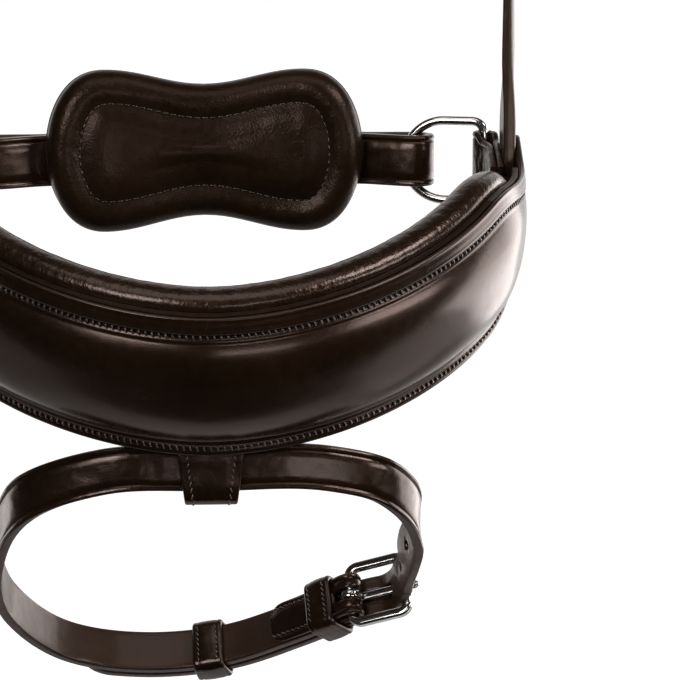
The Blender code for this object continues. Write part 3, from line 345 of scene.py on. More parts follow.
# Materials
class Shader:
    """A node tree under construction, with its patterns in the object's own coordinates."""

    def __init__(self, owner):
        owner.use_nodes = True
        self.owner = owner
        self.tree = owner.node_tree
        self.place = self.node("TexCoord", {}, "Object")

    def feed(self, target, value):
        if isinstance(value, bpy.types.NodeSocket):
            self.tree.links.new(value, target)
        else:
            target.default_value = value

    def node(self, kind, inputs, output, **settings):
        """A new node's output; each input is a value or another node's output."""
        made = self.tree.nodes.new("ShaderNode" + kind)
        for name, value in settings.items():
            setattr(made, name, value)
        for name, value in inputs.items():
            self.feed(made.inputs[name], value)
        return made.outputs[output]

    def surface(self, **inputs):
        """Gives the surface its inputs and returns the material."""
        for name, value in inputs.items():
            target = self.tree.nodes["Principled BSDF"].inputs[name.replace("_", " ")]
            self.feed(target, value)
        return self.owner

    def noise(self, size, detail=3.0, roughness=0.55, stretch=None):
        """Noise from 0 to 1 whose lumps are about size metres."""
        place = self.place
        if stretch:
            place = self.node("Mapping", {"Vector": place, "Scale": stretch}, "Vector")
        return self.node("TexNoise", {"Vector": place, "Scale": 1 / size, "Detail": detail,
                                      "Roughness": roughness}, "Fac")

    def cells(self, size, smoothness=0.4):
        return self.node("TexVoronoi", {"Vector": self.place, "Scale": 1 / size,
                                        "Smoothness": smoothness},
                         "Distance", feature="SMOOTH_F1")

    def attribute(self, name):
        return self.node("Attribute", {}, "Fac", attribute_name=name)

    def combine(self, operation, *values):
        return self.node("Math", dict(enumerate(values)), "Value", operation=operation)

    def spread(self, source, low, high, start=0.0, end=1.0, **settings):
        """Carries a value from start..end over to low..high, held at its ends."""
        return self.node("MapRange", {"Value": source, "From Min": start, "From Max": end,
                                      "To Min": low, "To Max": high}, "Result", **settings)

    def sum(self, *terms):
        """The sum of (source, factor) terms."""
        total = 0.0
        for source, factor in terms:
            total = self.combine("MULTIPLY_ADD", source, factor, total)
        return total

    def mix(self, factor, first, second):
        """Colour between two colours, each a value or another node's colour."""
        inputs = {"Factor": factor}
        for name, colour in (("A", first), ("B", second)):
            inputs[name] = (*colour, 1.0) if isinstance(colour, tuple) else colour
        return self.node("Mix", inputs, "Result", data_type="RGBA")

    def tones(self, pattern, start, end, first, second):
        """Colour from first to second while the pattern goes from start to end."""
        return self.mix(self.spread(pattern, 0.0, 1.0, start, end), first, second)

    def relief(self, height, depth):
        """Bump from a height from 0 to 1, depth metres deep."""
        return self.node("Bump", {"Height": height, "Strength": 1.0, "Distance": depth},
                         "Normal")


def darker(share, colour):
    return tuple(share * value for value in colour)


def leather_material(name, dark, light, roughness, grain_size, grain_depth, coat, fold_size,
                     fold_depth, fold_stretch=None, gloss=0.5, edge=EDGE_COLOUR,
                     flesh=FLESH_COLOUR):
    """Dyed leather: grain side, dressed edges and flesh side by the corners' marks."""
    shader = Shader(bpy.data.materials.new(name))
    clouds = shader.noise(0.022, 4.0)
    freckles = shader.noise(0.0022)
    grain = shader.tones(shader.sum((clouds, 0.65), (freckles, 0.35)), 0.36, 0.66, dark, light)
    on_edge = shader.attribute("edge")
    dressed = shader.tones(shader.noise(0.0006, 2.0), 0.35, 0.70, edge, darker(0.6, edge))
    on_flesh = shader.attribute("flesh")
    nap = shader.noise(0.0010, 4.0, 0.7)
    rough_side = shader.tones(nap, 0.30, 0.72, darker(0.65, flesh), flesh)

    wrinkles = shader.noise(grain_size * 2.6, 3.0, 0.6)
    height = shader.sum((shader.cells(grain_size), 0.55), (wrinkles, 0.30), (nap, 0.15))
    folds = shader.noise(fold_size, 2.0, 0.5, fold_stretch)
    height = shader.sum((height, 1.0), (folds, fold_depth / grain_depth))
    shine = shader.sum((freckles, 0.16), (clouds, 0.12), (on_edge, 0.10), (on_flesh, 0.30))
    return shader.surface(
        Base_Color=shader.mix(on_flesh, shader.mix(on_edge, grain, dressed), rough_side),
        Roughness=shader.spread(shine, roughness - 0.05, roughness + 0.55, 0.06, 0.70),
        Normal=shader.relief(height, grain_depth), IOR=1.5, Specular_IOR_Level=gloss,
        Specular_Tint=(1.0, 0.72, 0.60, 1.0), Coat_Weight=coat, Coat_Roughness=0.14,
        Coat_Tint=(1.0, 0.90, 0.86, 1.0))


def metal_material(name, colour, roughness):
    """Polished steel with fine scratches and a little haze."""
    shader = Shader(bpy.data.materials.new(name))
    haze = shader.noise(0.006, 4.0)
    scratches = shader.noise(0.0009, 3.0, 0.6, stretch=(6.0, 1.0, 1.0))
    shine = shader.sum((haze, 0.5), (scratches, 0.5))
    return shader.surface(
        Base_Color=shader.tones(haze, 0.35, 0.70, colour, darker(0.86, colour)),
        Roughness=shader.spread(shine, roughness, roughness + 0.14, 0.35, 0.70),
        Normal=shader.relief(scratches, 0.000012), Metallic=1.0)


def thread_material(name, dark, light):
    """Waxed thread, with its lay as fine ridges."""
    shader = Shader(bpy.data.materials.new(name))
    lay = shader.noise(0.00022, 2.0)
    return shader.surface(
        Base_Color=shader.tones(shader.noise(0.004, 2.0), 0.35, 0.65, dark, light),
        Roughness=shader.spread(lay, 0.14, 0.30, 0.3, 0.7),
        Normal=shader.relief(lay, 0.00003), IOR=1.5, Coat_Weight=0.8, Coat_Roughness=0.15)


def foam_material(name, colour):
    """Closed-cell foam, matte and finely pitted."""
    shader = Shader(bpy.data.materials.new(name))
    return shader.surface(
        Base_Color=shader.mix(shader.noise(0.008), colour, darker(0.7, colour)),
        Normal=shader.relief(shader.cells(0.0005, 0.2), 0.00010), Roughness=0.92)


strap_leather = leather_material(
    "bridle_leather", (0.0085, 0.0040, 0.0014), (0.0175, 0.0082, 0.0036), 0.22, 0.00042, 0.00005,
    0.25, 0.012, 0.0009)
nose_leather = leather_material(
    "nosepiece_leather", (0.0085, 0.0040, 0.0012), (0.0165, 0.0080, 0.0032), 0.21, 0.00038,
    0.00004, 0.25, 0.010, 0.00010)
pad_leather = leather_material(
    "padding_leather", *SOFT_COLOURS, 0.24, 0.00070, 0.00009, 0.30, 0.0022, 0.00030,
    (1.0, 1.0, 0.36))
chin_leather = leather_material(
    "chin_pad_leather", *SOFT_COLOURS, 0.30, 0.00070, 0.00010, 0.02, 0.0060, 0.00022, gloss=0.24)
loop_leather = leather_material(
    "ring_loop_leather", *SOFT_COLOURS, 0.25, 0.00050, 0.00008, 0.20, 0.0040, 0.0011,
    (1.0, 1.0, 0.45))
lining_leather = leather_material(
    "lining_leather", (0.0090, 0.0042, 0.0018), (0.0170, 0.0082, 0.0042), 0.40, 0.00060, 0.00009,
    0.05, 0.008, 0.00020, edge=(0.024, 0.012, 0.007), flesh=(0.036, 0.020, 0.012))
polished = metal_material("polished_steel", (0.74, 0.73, 0.71), 0.06)
thread = thread_material("waxed_thread", (0.040, 0.024, 0.016), (0.085, 0.056, 0.042))
dark_thread = thread_material("dark_thread", (0.010, 0.006, 0.004), (0.018, 0.010, 0.006))
foam = foam_material("padding_foam", (0.11, 0.10, 0.09))
guide = bpy.data.materials.new("guide")


# Meshes
class Skin:
    """A mesh under construction, whose corners each carry a mark."""

    def __init__(self):
        self.corners = []
        self.marks = []
        self.faces = []

    def ring(self, points, marks=GRAIN):
        first = len(self.corners)
        self.corners += [tuple(point) for point in points]
        self.marks += list(np.broadcast_to(marks, (len(points),)))
        return list(range(first, len(self.corners)))

    def bridge(self, ring, other, closed=True):
        for k in range(len(ring) if closed else len(ring) - 1):
            after = (k + 1) % len(ring)
            self.faces.append((ring[k], ring[after], other[after], other[k]))

    def join(self, rings, closed=True, around=False):
        """Faces from each ring to the next, and from the last to the first if around."""
        for ring, other in zip(rings, rings[1:] + rings[:1] * around):
            self.bridge(ring, other, closed)

    def cap(self, ring):
        """Closes a ring with a fan from its middle."""
        middle = np.mean([self.corners[k] for k in ring], axis=0)
        centre = self.ring([middle], self.marks[ring[0]])[0]
        self.fan(ring + ring[:1], centre)

    def fan(self, row, tip):
        for first, second in zip(row, row[1:]):
            self.faces.append((first, second, tip))

    def tube(self, rings):
        self.join(rings)
        self.cap(rings[0])
        self.cap(rings[-1])
        return self

    def field(self, rows, tips):
        """Fills an outline with crosswise rows, and a fan to its tip at each end."""
        self.join(rows, closed=False)
        self.fan(rows[0], tips[0])
        self.fan(rows[-1], tips[1])

    def finish(self, name, material, body, replaced=(), slot="bridle_leather"):
        mesh = bpy.data.meshes.new(name)
        mesh.from_pydata(self.corners, [], self.faces)
        for word, mark in (("edge", EDGE), ("flesh", FLESH)):
            layer = mesh.attributes.new(word, "FLOAT", "POINT")
            layer.data.foreach_set("value", [max(0.0, 1 - abs(value - mark))
                                             for value in self.marks])
        shape = bmesh.new()
        shape.from_mesh(mesh)
        bmesh.ops.remove_doubles(shape, verts=shape.verts, dist=MERGED)
        bmesh.ops.recalc_face_normals(shape, faces=shape.faces)
        shape.to_mesh(mesh)
        shape.free()
        mesh.shade_smooth()
        mesh.set_sharp_from_angle(angle=SHARP_FROM)
        mesh.materials.append(material)
        item = bpy.data.objects.new(name, mesh)
        bpy.context.collection.objects.link(item)
        if body:
            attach(item, body)
        if replaced:
            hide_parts(*replaced)
        return item


def sweep(route, stations, outline):
    """A closed skin whose section at each station is outline(at), as (aside, out, mark)."""
    skin = Skin()
    rings = []
    for at in stations:
        section = outline(at)
        point, _, across, outward = route.frame(at)
        points = [point + across * w + outward * n for w, n, _ in section]
        rings.append(skin.ring(points, [mark for _, _, mark in section]))
    return skin.tube(rings)


def corner(w, n, bend, start, end, marks):
    """Points round a corner from start to end degrees, one for each mark."""
    points = arc((w, n), bend, start, end, len(marks))
    return [(*point, mark) for point, mark in zip(points, marks)]


def strap_section(width, thickness, creased=True):
    """A strap's section: rounded edges, a creased line by each edge, a flesh side."""
    w = width / 2
    n = thickness / 2
    bend = min(0.00075, 0.42 * thickness, 0.3 * w)
    section = [(aside, -n, FLESH) for aside in np.linspace(-w + bend, w - bend, 9)[1:-1]]
    section += corner(w - bend, -n + bend, bend, -90, 0, [FLESH] + [EDGE] * 4)
    section += corner(w - bend, n - bend, bend, 0, 90, [EDGE] * 3 + [GRAIN] * 2)
    crease = min(CREASE_IN, 0.42 * w)
    half = CREASE_HALF * crease / CREASE_IN
    across = [w - bend - 0.1 * half]
    across += [w - crease + share * half for share in (1, 0.5, 0, -0.5, -1)]
    across += [0.38 * w, 0.20 * w, 0.06 * w]
    for aside in across + [-aside for aside in reversed(across)]:
        level = n
        if creased:
            level -= CREASE_DEPTH * bump(abs(aside) - w + crease, half)
            level += CREASE_SWELL * bump(abs(aside) - w + 0.5 * crease, 0.5 * crease)
        section.append((aside, level, GRAIN))
    section += corner(-w + bend, n - bend, bend, 90, 180, [GRAIN] * 2 + [EDGE] * 3)
    section += corner(-w + bend, -n + bend, bend, 180, 270, [EDGE] * 3 + [FLESH] * 2)
    return section


def strap(route, width, thickness, point=0.0, longest=0.003, rounding=0.0):
    """A strap along its whole route, thickness(at) thick.

    Point is the length of its shaped tip and rounding the radius of the corners at its start.
    """
    stations = [route.start + rounding * share for share in START_SHARES if rounding]
    stations += route.stations(route.start + rounding, route.end - point, longest)
    stations += [route.end - point * left for left in POINT_SHARES if point]

    def outline(at):
        narrow = 1.0
        if point and at > route.end - point:
            reached = (at - route.end + point) / point
            narrow = 0.30 + 0.70 * math.sqrt(max(0.0, 1 - reached**2))
        short = max(0.0, rounding - at + route.start)
        narrow -= (rounding - math.sqrt(rounding**2 - short**2)) / width * 2
        return strap_section(width * narrow, thickness(at))

    return sweep(route, stations, outline)


def oblong(width, height, squareness, count):
    """A closed outline, an ellipse with squareness 2 and nearer a rectangle above it."""
    points = []
    for angle in np.linspace(0, 2 * math.pi, count, endpoint=False):
        c = math.copysign(abs(math.cos(angle)) ** (2 / squareness), math.cos(angle))
        s = math.copysign(abs(math.sin(angle)) ** (2 / squareness), math.sin(angle))
        points.append((width / 2 * c, height / 2 * s))
    return points


def wire(centres, normal, diameter, squareness):
    """A closed ring of wire that lies flat, square to normal."""
    skin = Skin()
    rings = []
    for before, centre, after in zip(centres[-1:] + centres[:-1], centres,
                                     centres[1:] + centres[:1]):
        sideways = unit(np.cross(unit(after - before), normal))
        rings.append(skin.ring([centre + sideways * x + normal * y
                                for x, y in oblong(diameter, diameter, squareness, 24)]))
    skin.join(rings, around=True)
    return skin


def keeper(route, start, length, width, low, high):
    """A leather band round a strap: a closed loop with rounded corners and edges."""
    wall = KEEPER_WALL
    profile = [(0.00055, 0.0, FLESH), (0.0, 0.00035, EDGE), (0.0, wall / 2, EDGE),
               (0.00010, wall - 0.00055, EDGE), (0.00045, wall - 0.00015, EDGE),
               (0.0009, wall, GRAIN), (0.0015, wall - 0.00012, GRAIN),
               (0.0021, wall + 0.00004, GRAIN), (0.0030, wall + 0.00010, GRAIN)]
    around = profile + [(length / 2, wall + 0.00016, GRAIN)]
    around += [(length - at, grow, mark) for at, grow, mark in reversed(profile)]
    skin = Skin()
    rings = []
    for at, grow, mark in around:
        bend = KEEPER_CORNER + grow
        w = width / 2 + GAP + grow - bend
        top = high + grow - bend
        bottom = low - grow + bend
        loop = []
        for k, centre in enumerate(((w, top), (-w, top), (-w, bottom), (w, bottom))):
            loop += arc(centre, bend, 90 * k, 90 * k + 90, 7)
        rings.append(skin.ring([route.place(start + at, *point) for point in loop], mark))
    skin.join(rings, around=True)
    return skin


def cutter(skin, name, target, body):
    """Cuts a skin out of a piece; the cutter itself is only a guide and rides along."""
    item = skin.finish(name, guide, None)
    item.hide_render = True
    item.display_type = "WIRE"
    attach(item, body)
    boolean = target.modifiers.new("cut by " + name, "BOOLEAN")
    boolean.operation = "DIFFERENCE"
    boolean.object = item


def block(route, start, end, half_width, low, high):
    """A block that follows a route, to cut a slot or a recess."""
    box = [(-half_width, low, EDGE), (half_width, low, EDGE),
           (half_width, high, EDGE), (-half_width, high, EDGE)]
    return sweep(route, np.linspace(start, end, max(2, int((end - start) / 0.004) + 1)),
                 lambda at: box)


def punch(route, places, depth, name, target, body):
    """Cuts round holes through a strap, depth to each side of its middle."""
    for k, at in enumerate(places):
        skin = Skin()
        point, along, across, out = route.frame(at)
        rings = [skin.ring([point + out * level + along * x + across * y
                            for x, y in oblong(HOLE, HOLE, 2, 24)], EDGE)
                 for level in (-depth, depth)]
        cutter(skin.tube(rings), "%s_hole_%d" % (name, k), target, body)


def thread_bead(skin, first, last, up, radius):
    """One stitch: thread that comes up at first, lies over to last and goes down again."""
    length = np.linalg.norm(last - first)
    along = (last - first) / length
    side = np.cross(along, up)
    rings = []
    for share, lift, thin in ((0.0, -1.5, 0.8), (0.08, -0.15, 0.95), (0.28, 0.42, 1.05),
                              (0.5, 0.56, 1.08), (0.72, 0.42, 1.05), (0.92, -0.15, 0.95),
                              (1.0, -1.5, 0.8)):
        centre = first + along * length * share + up * radius * lift
        lean = math.radians(70 - 140 * share)
        normal = up * math.cos(lean) - along * math.sin(lean)
        rings.append(skin.ring([centre + side * x + normal * y for x, y in
                                oblong(2 * radius * thin, 2 * radius * thin, 2, 8)]))
    skin.tube(rings)


def stitch_line(skin, spot, start, end, pitch=STRAP_PITCH, length=STRAP_STITCH,
                slant=STRAP_SLANT, radius=STRAP_THREAD / 2):
    """Stitches from start to end; spot(at, aside) gives a surface point and its normal.

    Each stitch leans by slant, in radians, out of the line's own direction.
    """
    count = max(1, int(round((end - start) / pitch)))
    for k in range(count):
        middle = start + (k + 0.5) * (end - start) / count
        reach = length / 2 * math.cos(slant)
        aside = length / 2 * math.sin(slant)
        first, up_first = spot(middle - reach, -aside)
        last, up_last = spot(middle + reach, aside)
        thread_bead(skin, first, last, unit(up_first + up_last), radius)


def on_face(route, at, aside, level):
    """A point on a strap's face, level over its centre line, and the way that it faces."""
    return route.place(at, aside, level), route.frame(at)[3] * math.copysign(1.0, level)


# Nosepiece
def nose_path():
    droop = np.array([0.0, math.cos(NOSE_DROOP), math.sin(NOSE_DROOP)])
    up = np.array([0.0, -math.sin(NOSE_DROOP), math.cos(NOSE_DROOP)])
    power = 2 / NOSE_FULLNESS
    half = [(NOSE_HALF_WIDTH * math.sin(angle) ** power,
             NECK_START - NOSE_DEPTH * math.cos(angle) ** power)
            for angle in np.linspace(0.0, math.pi / 2, 181)]
    half += [(NOSE_HALF_WIDTH, NECK_START + further)
             for further in np.arange(FINE, NECK_LENGTH + FINE / 2, FINE)]
    whole = [(-x, back) for x, back in reversed(half[1:])] + half
    points = [NOSE_CENTRE + np.array([x, 0.0, 0.0]) + droop * back for x, back in whole]
    return Route(points, up, zero=len(half) - 1)


nose = nose_path()
NOSE_HALF = nose.end


def from_tip(at):
    return NOSE_HALF - abs(at)


def fullness(at):
    """1 where the panel has its full width and rise, 0 at the neck."""
    return smooth((from_tip(at) - TAPER_END) / PANEL_TAPER)


def panel_half(at):
    return NECK_WIDTH / 2 + (PANEL_WIDTH - NECK_WIDTH) / 2 * fullness(at)


def leather_half(at):
    """The outer leather's half width, with its tips rounded."""
    short = max(0.0, TIP_ROUNDING - from_tip(at))
    return panel_half(at) - TIP_ROUNDING + math.sqrt(TIP_ROUNDING**2 - short**2)


def crowding(at):
    """1, or less near the tips where the borders are drawn together."""
    return min(1.0, leather_half(at) / (NECK_WIDTH / 2))


def body_rise(at, share):
    """Height of the raised body, by the share of its width."""
    return BODY_RISE * fullness(at) * (1 - abs(2 * share - 1) ** 3)


def front_level(at, w):
    """Height of the outer leather's front over its back, with body, grooves and ridges."""
    half = leather_half(at)
    squeeze = crowding(at)
    top = (half - w) / squeeze
    bottom = (w + half) / squeeze
    low = -half + BOTTOM_BORDER * squeeze
    high = half - TOP_BORDER * squeeze
    share = (w - low) / (high - low)
    level = NOSE_LEATHER
    if 0 < share < 1:
        foot = smooth(min(share, 1 - share) / 0.045)
        level += body_rise(at, share) * (0.35 + 0.65 * foot)
    worked = 0.25 + 0.75 * smooth(fullness(at) / 0.3)
    for edge, work in ((top, TOP_WORK), (bottom, BOTTOM_WORK)):
        for height, place, reach in work:
            level += height * worked * bump(edge - place, reach)
    return level - EDGE_DROP * (0.5 + 0.5 * worked) * smooth(1 - top / EDGE_DROP_WIDTH)


def outer_leather_outline(at):
    half = leather_half(at)
    squeeze = crowding(at)
    bend = 0.0007
    inner = [-half + d * squeeze for d in BOTTOM_SAMPLES]
    outer = [half - d * squeeze for d in reversed(TOP_SAMPLES)]
    middle = list(np.linspace(inner[-1], outer[0], BODY_SAMPLES)[1:-1])
    low = front_level(at, inner[0]) - bend
    high = front_level(at, outer[-1]) - bend
    section = corner(-half + bend, bend, bend, 270, 180, [EDGE] * 5)
    section += corner(-half + bend, low, bend, 180, 100, [EDGE] * 3 + [GRAIN] * 2)
    section += [(w, front_level(at, w), GRAIN) for w in inner + middle + outer]
    section += corner(half - bend, high, bend, 80, 0, [GRAIN] * 2 + [EDGE] * 3)
    section += corner(half - bend, bend, bend, 0, -90, [EDGE] * 5)
    return section + [(w, 0.0, FLESH) for w in np.linspace(half - bend, -half + bend, 9)[1:-1]]


def filler_outline(at):
    half = leather_half(at)
    low = -half + BOTTOM_BORDER
    high = half - TOP_BORDER
    front = [(low + (high - low) * share, body_rise(at, share) - GAP, GRAIN)
             for share in (0.12, 0.20, 0.30, 0.40, 0.50, 0.60, 0.70, 0.80, 0.88)]
    return [(front[0][0], 0.0, GRAIN)] + front + [(front[-1][0], 0.0, GRAIN)]


def padding_contour(at, inset):
    """The padding's outside from its upper to its lower front lip, drawn in by inset."""
    inward = from_tip(at) - PADDING_INSET
    depth = PADDING_END_DEPTH + (PADDING_DEPTH - PADDING_END_DEPTH) * smooth(inward / PANEL_TAPER)
    front = BACKING_BACK - GAP - inset
    back = BACKING_BACK - GAP - depth + inset
    middle = (front + back) / 2
    radius = (front - back) / 2
    closing = 0.55 + 0.45 * smooth(inward / PADDING_NARROWING)
    reach = panel_half(at) * closing
    rise = (TOP_ROLL - inset) * closing
    lower = min(depth, 0.8 * reach) / 2
    bottom = -reach + 0.001 + lower
    contour = [(reach - min(0.004, 0.25 * reach), front)]
    for turn in np.radians(np.linspace(90, -90, 25)):
        contour.append((reach + rise * math.cos(turn), middle + radius * math.sin(turn)))
    for share in np.linspace(0, 1, 9)[1:-1]:
        crown = PADDING_CROWN * math.sin(math.pi * share)
        contour.append((reach + (bottom - reach) * share, back - crown * (inset == 0.0)))
    for turn in np.radians(np.linspace(-90, 90, 23)):
        contour.append((bottom - (lower - inset) * math.cos(turn),
                        middle + radius * math.sin(turn)))
    return contour + [(bottom + min(0.003, 0.2 * reach), front)]


def pucker(at, offset):
    """A small uneven ripple along a seam, from -1 to 1."""
    return noise.noise(Vector((at / 0.0021, offset, 0.0))) + 0.6 * noise.noise(
        Vector((at / 0.0047, offset + 7.3, 1.7)))


def padding_skin():
    """Cover of the padding: its rolled outside with puckers at the seams, and its inside."""
    reach = NOSE_HALF - PADDING_INSET
    inner_reach = reach - PAD_COVER
    ends = (0.0, 0.0002, 0.0006, 0.0012, 0.0020, PADDING_END)
    stations = [-reach + step for step in ends]
    stations += nose.stations(-reach + 0.004, reach - 0.004, 0.0009)
    stations += [reach - step for step in reversed(ends)]
    skin = Skin()
    outside = []
    inside = []
    for at in stations:
        point, _, across, outward = nose.frame(at)
        contour = padding_contour(at, 0.0)
        front = contour[0][1]
        middle = (front + contour[30][1]) / 2
        close = math.sqrt(1 - (1 - min(1.0, (reach - abs(at)) / PADDING_END)) ** 2)
        points = []
        for k, (w, n) in enumerate(contour):
            seam = bump(k - 5, 9) + 0.7 * bump(k - len(contour) + 8, 8)
            fold = 0.00013 * seam * pucker(at, 0.11 * k) + 0.00006 * pucker(at * 0.7, 3 + 0.23 * k)
            height = w * (0.90 + 0.10 * close) + fold * np.sign(w)
            depth = middle + (n - middle) * (0.35 + 0.65 * close) - fold
            points.append(point + across * height + outward * min(depth, front))
        outside.append(skin.ring(points))
        held = min(max(at, -inner_reach), inner_reach)
        inside.append(skin.ring([nose.place(held, w * 0.985, n)
                                 for w, n in padding_contour(held, PAD_COVER)], FLESH))
    skin.join(outside, closed=False)
    skin.join(inside, closed=False)
    for lip in (0, -1):
        skin.bridge([ring[lip] for ring in outside], [ring[lip] for ring in inside], closed=False)
    for outer, inner in ((outside[0], inside[0]), (outside[-1], inside[-1])):
        skin.bridge(outer, inner, closed=False)
        skin.faces.append((outer[0], inner[0], inner[-1], outer[-1]))
    return skin


def nose_front(at, w):
    """A point on the outer leather's front and the normal there."""
    step = 0.0002
    _, _, across, outward = nose.frame(at)
    slope = (front_level(at, w + step) - front_level(at, w - step)) / (2 * step)
    return nose.place(at, w, front_level(at, w)), unit(outward - across * slope)


def make_nosepiece():
    tips = [0.0, 0.00015, 0.0005, 0.0011, 0.0019, 0.0029, 0.0040, TIP_ROUNDING]
    stations = [-NOSE_HALF + d for d in tips]
    stations += nose.stations(-NOSE_HALF + 0.006, NOSE_HALF - 0.006, 0.0014)
    stations += [NOSE_HALF - d for d in reversed(tips)]
    outer = sweep(nose, stations, outer_leather_outline)
    outer.finish("outer_leather", nose_leather, "nosepiece", ["nosepiece_outer_leather"])

    reach = NOSE_HALF - 0.028
    inner = sweep(nose, nose.stations(-reach, reach, 0.004), filler_outline)
    inner.finish("body_filler", foam, "nosepiece", ["nosepiece_filler"], "filler_leather")

    cover = padding_skin().finish("padding_cover", pad_leather, "nosepiece",
                                  ["nosepiece_padding_cover"], "padding_leather")
    reach = NOSE_HALF - PADDING_INSET - PAD_COVER - GAP
    stuffing = sweep(nose, nose.stations(-reach, reach, 0.003),
                     lambda at: [(w * 0.98, n, GRAIN)
                                 for w, n in padding_contour(at, PAD_COVER + GAP)])
    stuffing = stuffing.finish("padding_stuffing", foam, "nosepiece",
                               ["nosepiece_padding_foam"], "padding_foam")
    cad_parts["nosepiece_backing"].data.materials[0] = lining_leather

    # Room for the flash loop's two ends between the layers
    low = -PANEL_WIDTH / 2 - 0.006
    high = -PANEL_WIDTH / 2 + FLASH_LOOP_UP + GAP
    room = [(low, -0.0054, FLESH), (high, -0.0054, FLESH), (high, 0.0, FLESH), (low, 0.0, FLESH)]
    reach = FLASH_LOOP_TOP / 2 + 0.0013
    for name, layer in (("cover_room", cover), ("stuffing_room", stuffing)):
        cutter(sweep(nose, np.linspace(-reach, reach, 5), lambda at: room), name, layer,
               "nosepiece")

    sewn = Skin()
    for edge, line, from_end in ((1, TOP_STITCHES, 0.030), (-1, BOTTOM_STITCHES, 0.020)):
        def spot(at, aside, edge=edge, line=line):
            return nose_front(at, edge * (leather_half(at) - line) + aside)
        reach = NOSE_HALF - from_end
        stitch_line(sewn, spot, -reach, reach, STITCH_PITCH, STITCH_LENGTH, STITCH_SLANT,
                    THREAD / 2)
    sewn.finish("nosepiece_stitches", thread, "nosepiece", slot=None)


# Rings and their leather loops; side is 1 on the near side and -1 on the off side
def ring_bar(side):
    return NOSE_CENTRE + np.array([side * (NOSE_HALF_WIDTH - RING_BAR_INBOARD),
                                   RING_BAR_BACK, RING_BAR_RISE])


def make_ring(word, side):
    flat_half = RING_BOW - RING_CORNER
    flat = [(0.0, z) for z in np.linspace(-flat_half, flat_half, 5)[1:-1]]
    flat += arc((RING_CORNER, flat_half), RING_CORNER, 180, 90, 9)
    flat += arc((RING_LENGTH - RING_BOW, 0.0), RING_BOW, 90, -90, 48)
    flat += arc((RING_CORNER, -flat_half), RING_CORNER, -90, -180, 9)
    direction = np.array([-side * math.cos(RING_YAW), math.sin(RING_YAW), 0.0])
    upward = np.array([0.0, 0.0, 1.0])
    centres = [ring_bar(side) + direction * x + upward * z for x, z in flat]
    skin = wire(centres, np.cross(direction, upward), RING_WIRE, 2.3)
    skin.finish(word + "_ring_wire", polished, word + "_ring", [word + "_d_ring"], "ring_metal")


def make_ring_loop(word, side):
    """Leather out of the neck, round the ring's straight bar and back into the neck."""
    tip, lengthwise, _, _ = nose.frame(NOSE_HALF)
    outer = -2 * GAP - HEAD_STRAP - RING_LOOP / 2
    inner = outer - RING_LOOP - GAP
    radius = RING_WIRE / 2 + GAP + RING_LOOP / 2
    bar = ring_bar(1)
    backs = (NECK_LENGTH - 0.001, 0.010, 0.004)
    knots = [tip - lengthwise * back + np.array([outer, 0.0, 0.0]) for back in backs]
    for turn in np.radians((15, 50, 90, 130, 172, 212)):
        knots.append(bar + radius * np.array([math.cos(turn), math.sin(turn), 0.0]))
    knots += [tip - lengthwise * back + np.array([inner, 0.0, 0.0]) for back in reversed(backs)]
    points = spline(knots)
    # Seen from the side it starts on the neck's slope and levels out towards the bar
    slope = lengthwise[2] / lengthwise[1]
    reach = 2 * (bar[2] - points[0, 2]) / slope
    left = np.clip(1 - (points[:, 1] - points[0, 1]) / reach, 0.0, 1.0)
    points[:, 2] = bar[2] - slope * reach / 2 * left**2
    across = np.stack((np.zeros_like(left), -slope * left, np.ones_like(left)), axis=1)
    mirror = np.array([side, 1.0, 1.0])
    route = Route(points * mirror, across * mirror)

    def outline(at):
        depth = route.read(route.points, at)[1] - tip[1]
        width = RING_LOOP_WIDTH + RING_LOOP_FLARE * smooth(depth / 0.003)
        return [(w, n * side, mark) for w, n, mark in strap_section(width, RING_LOOP)]

    skin = sweep(route, route.stations(route.start, route.end, 0.001), outline)
    skin.finish(word + "_loop_leather", loop_leather, "nosepiece", [word + "_ring_loop"])


# The flash loop: a strip out of the nosepiece's lower edge, under the strap and back in
FLASH_MIDDLE = nose.place(0.0, 0.0, 0.0) + np.array([0.0, FLASH_BACK, -FLASH_DROP])


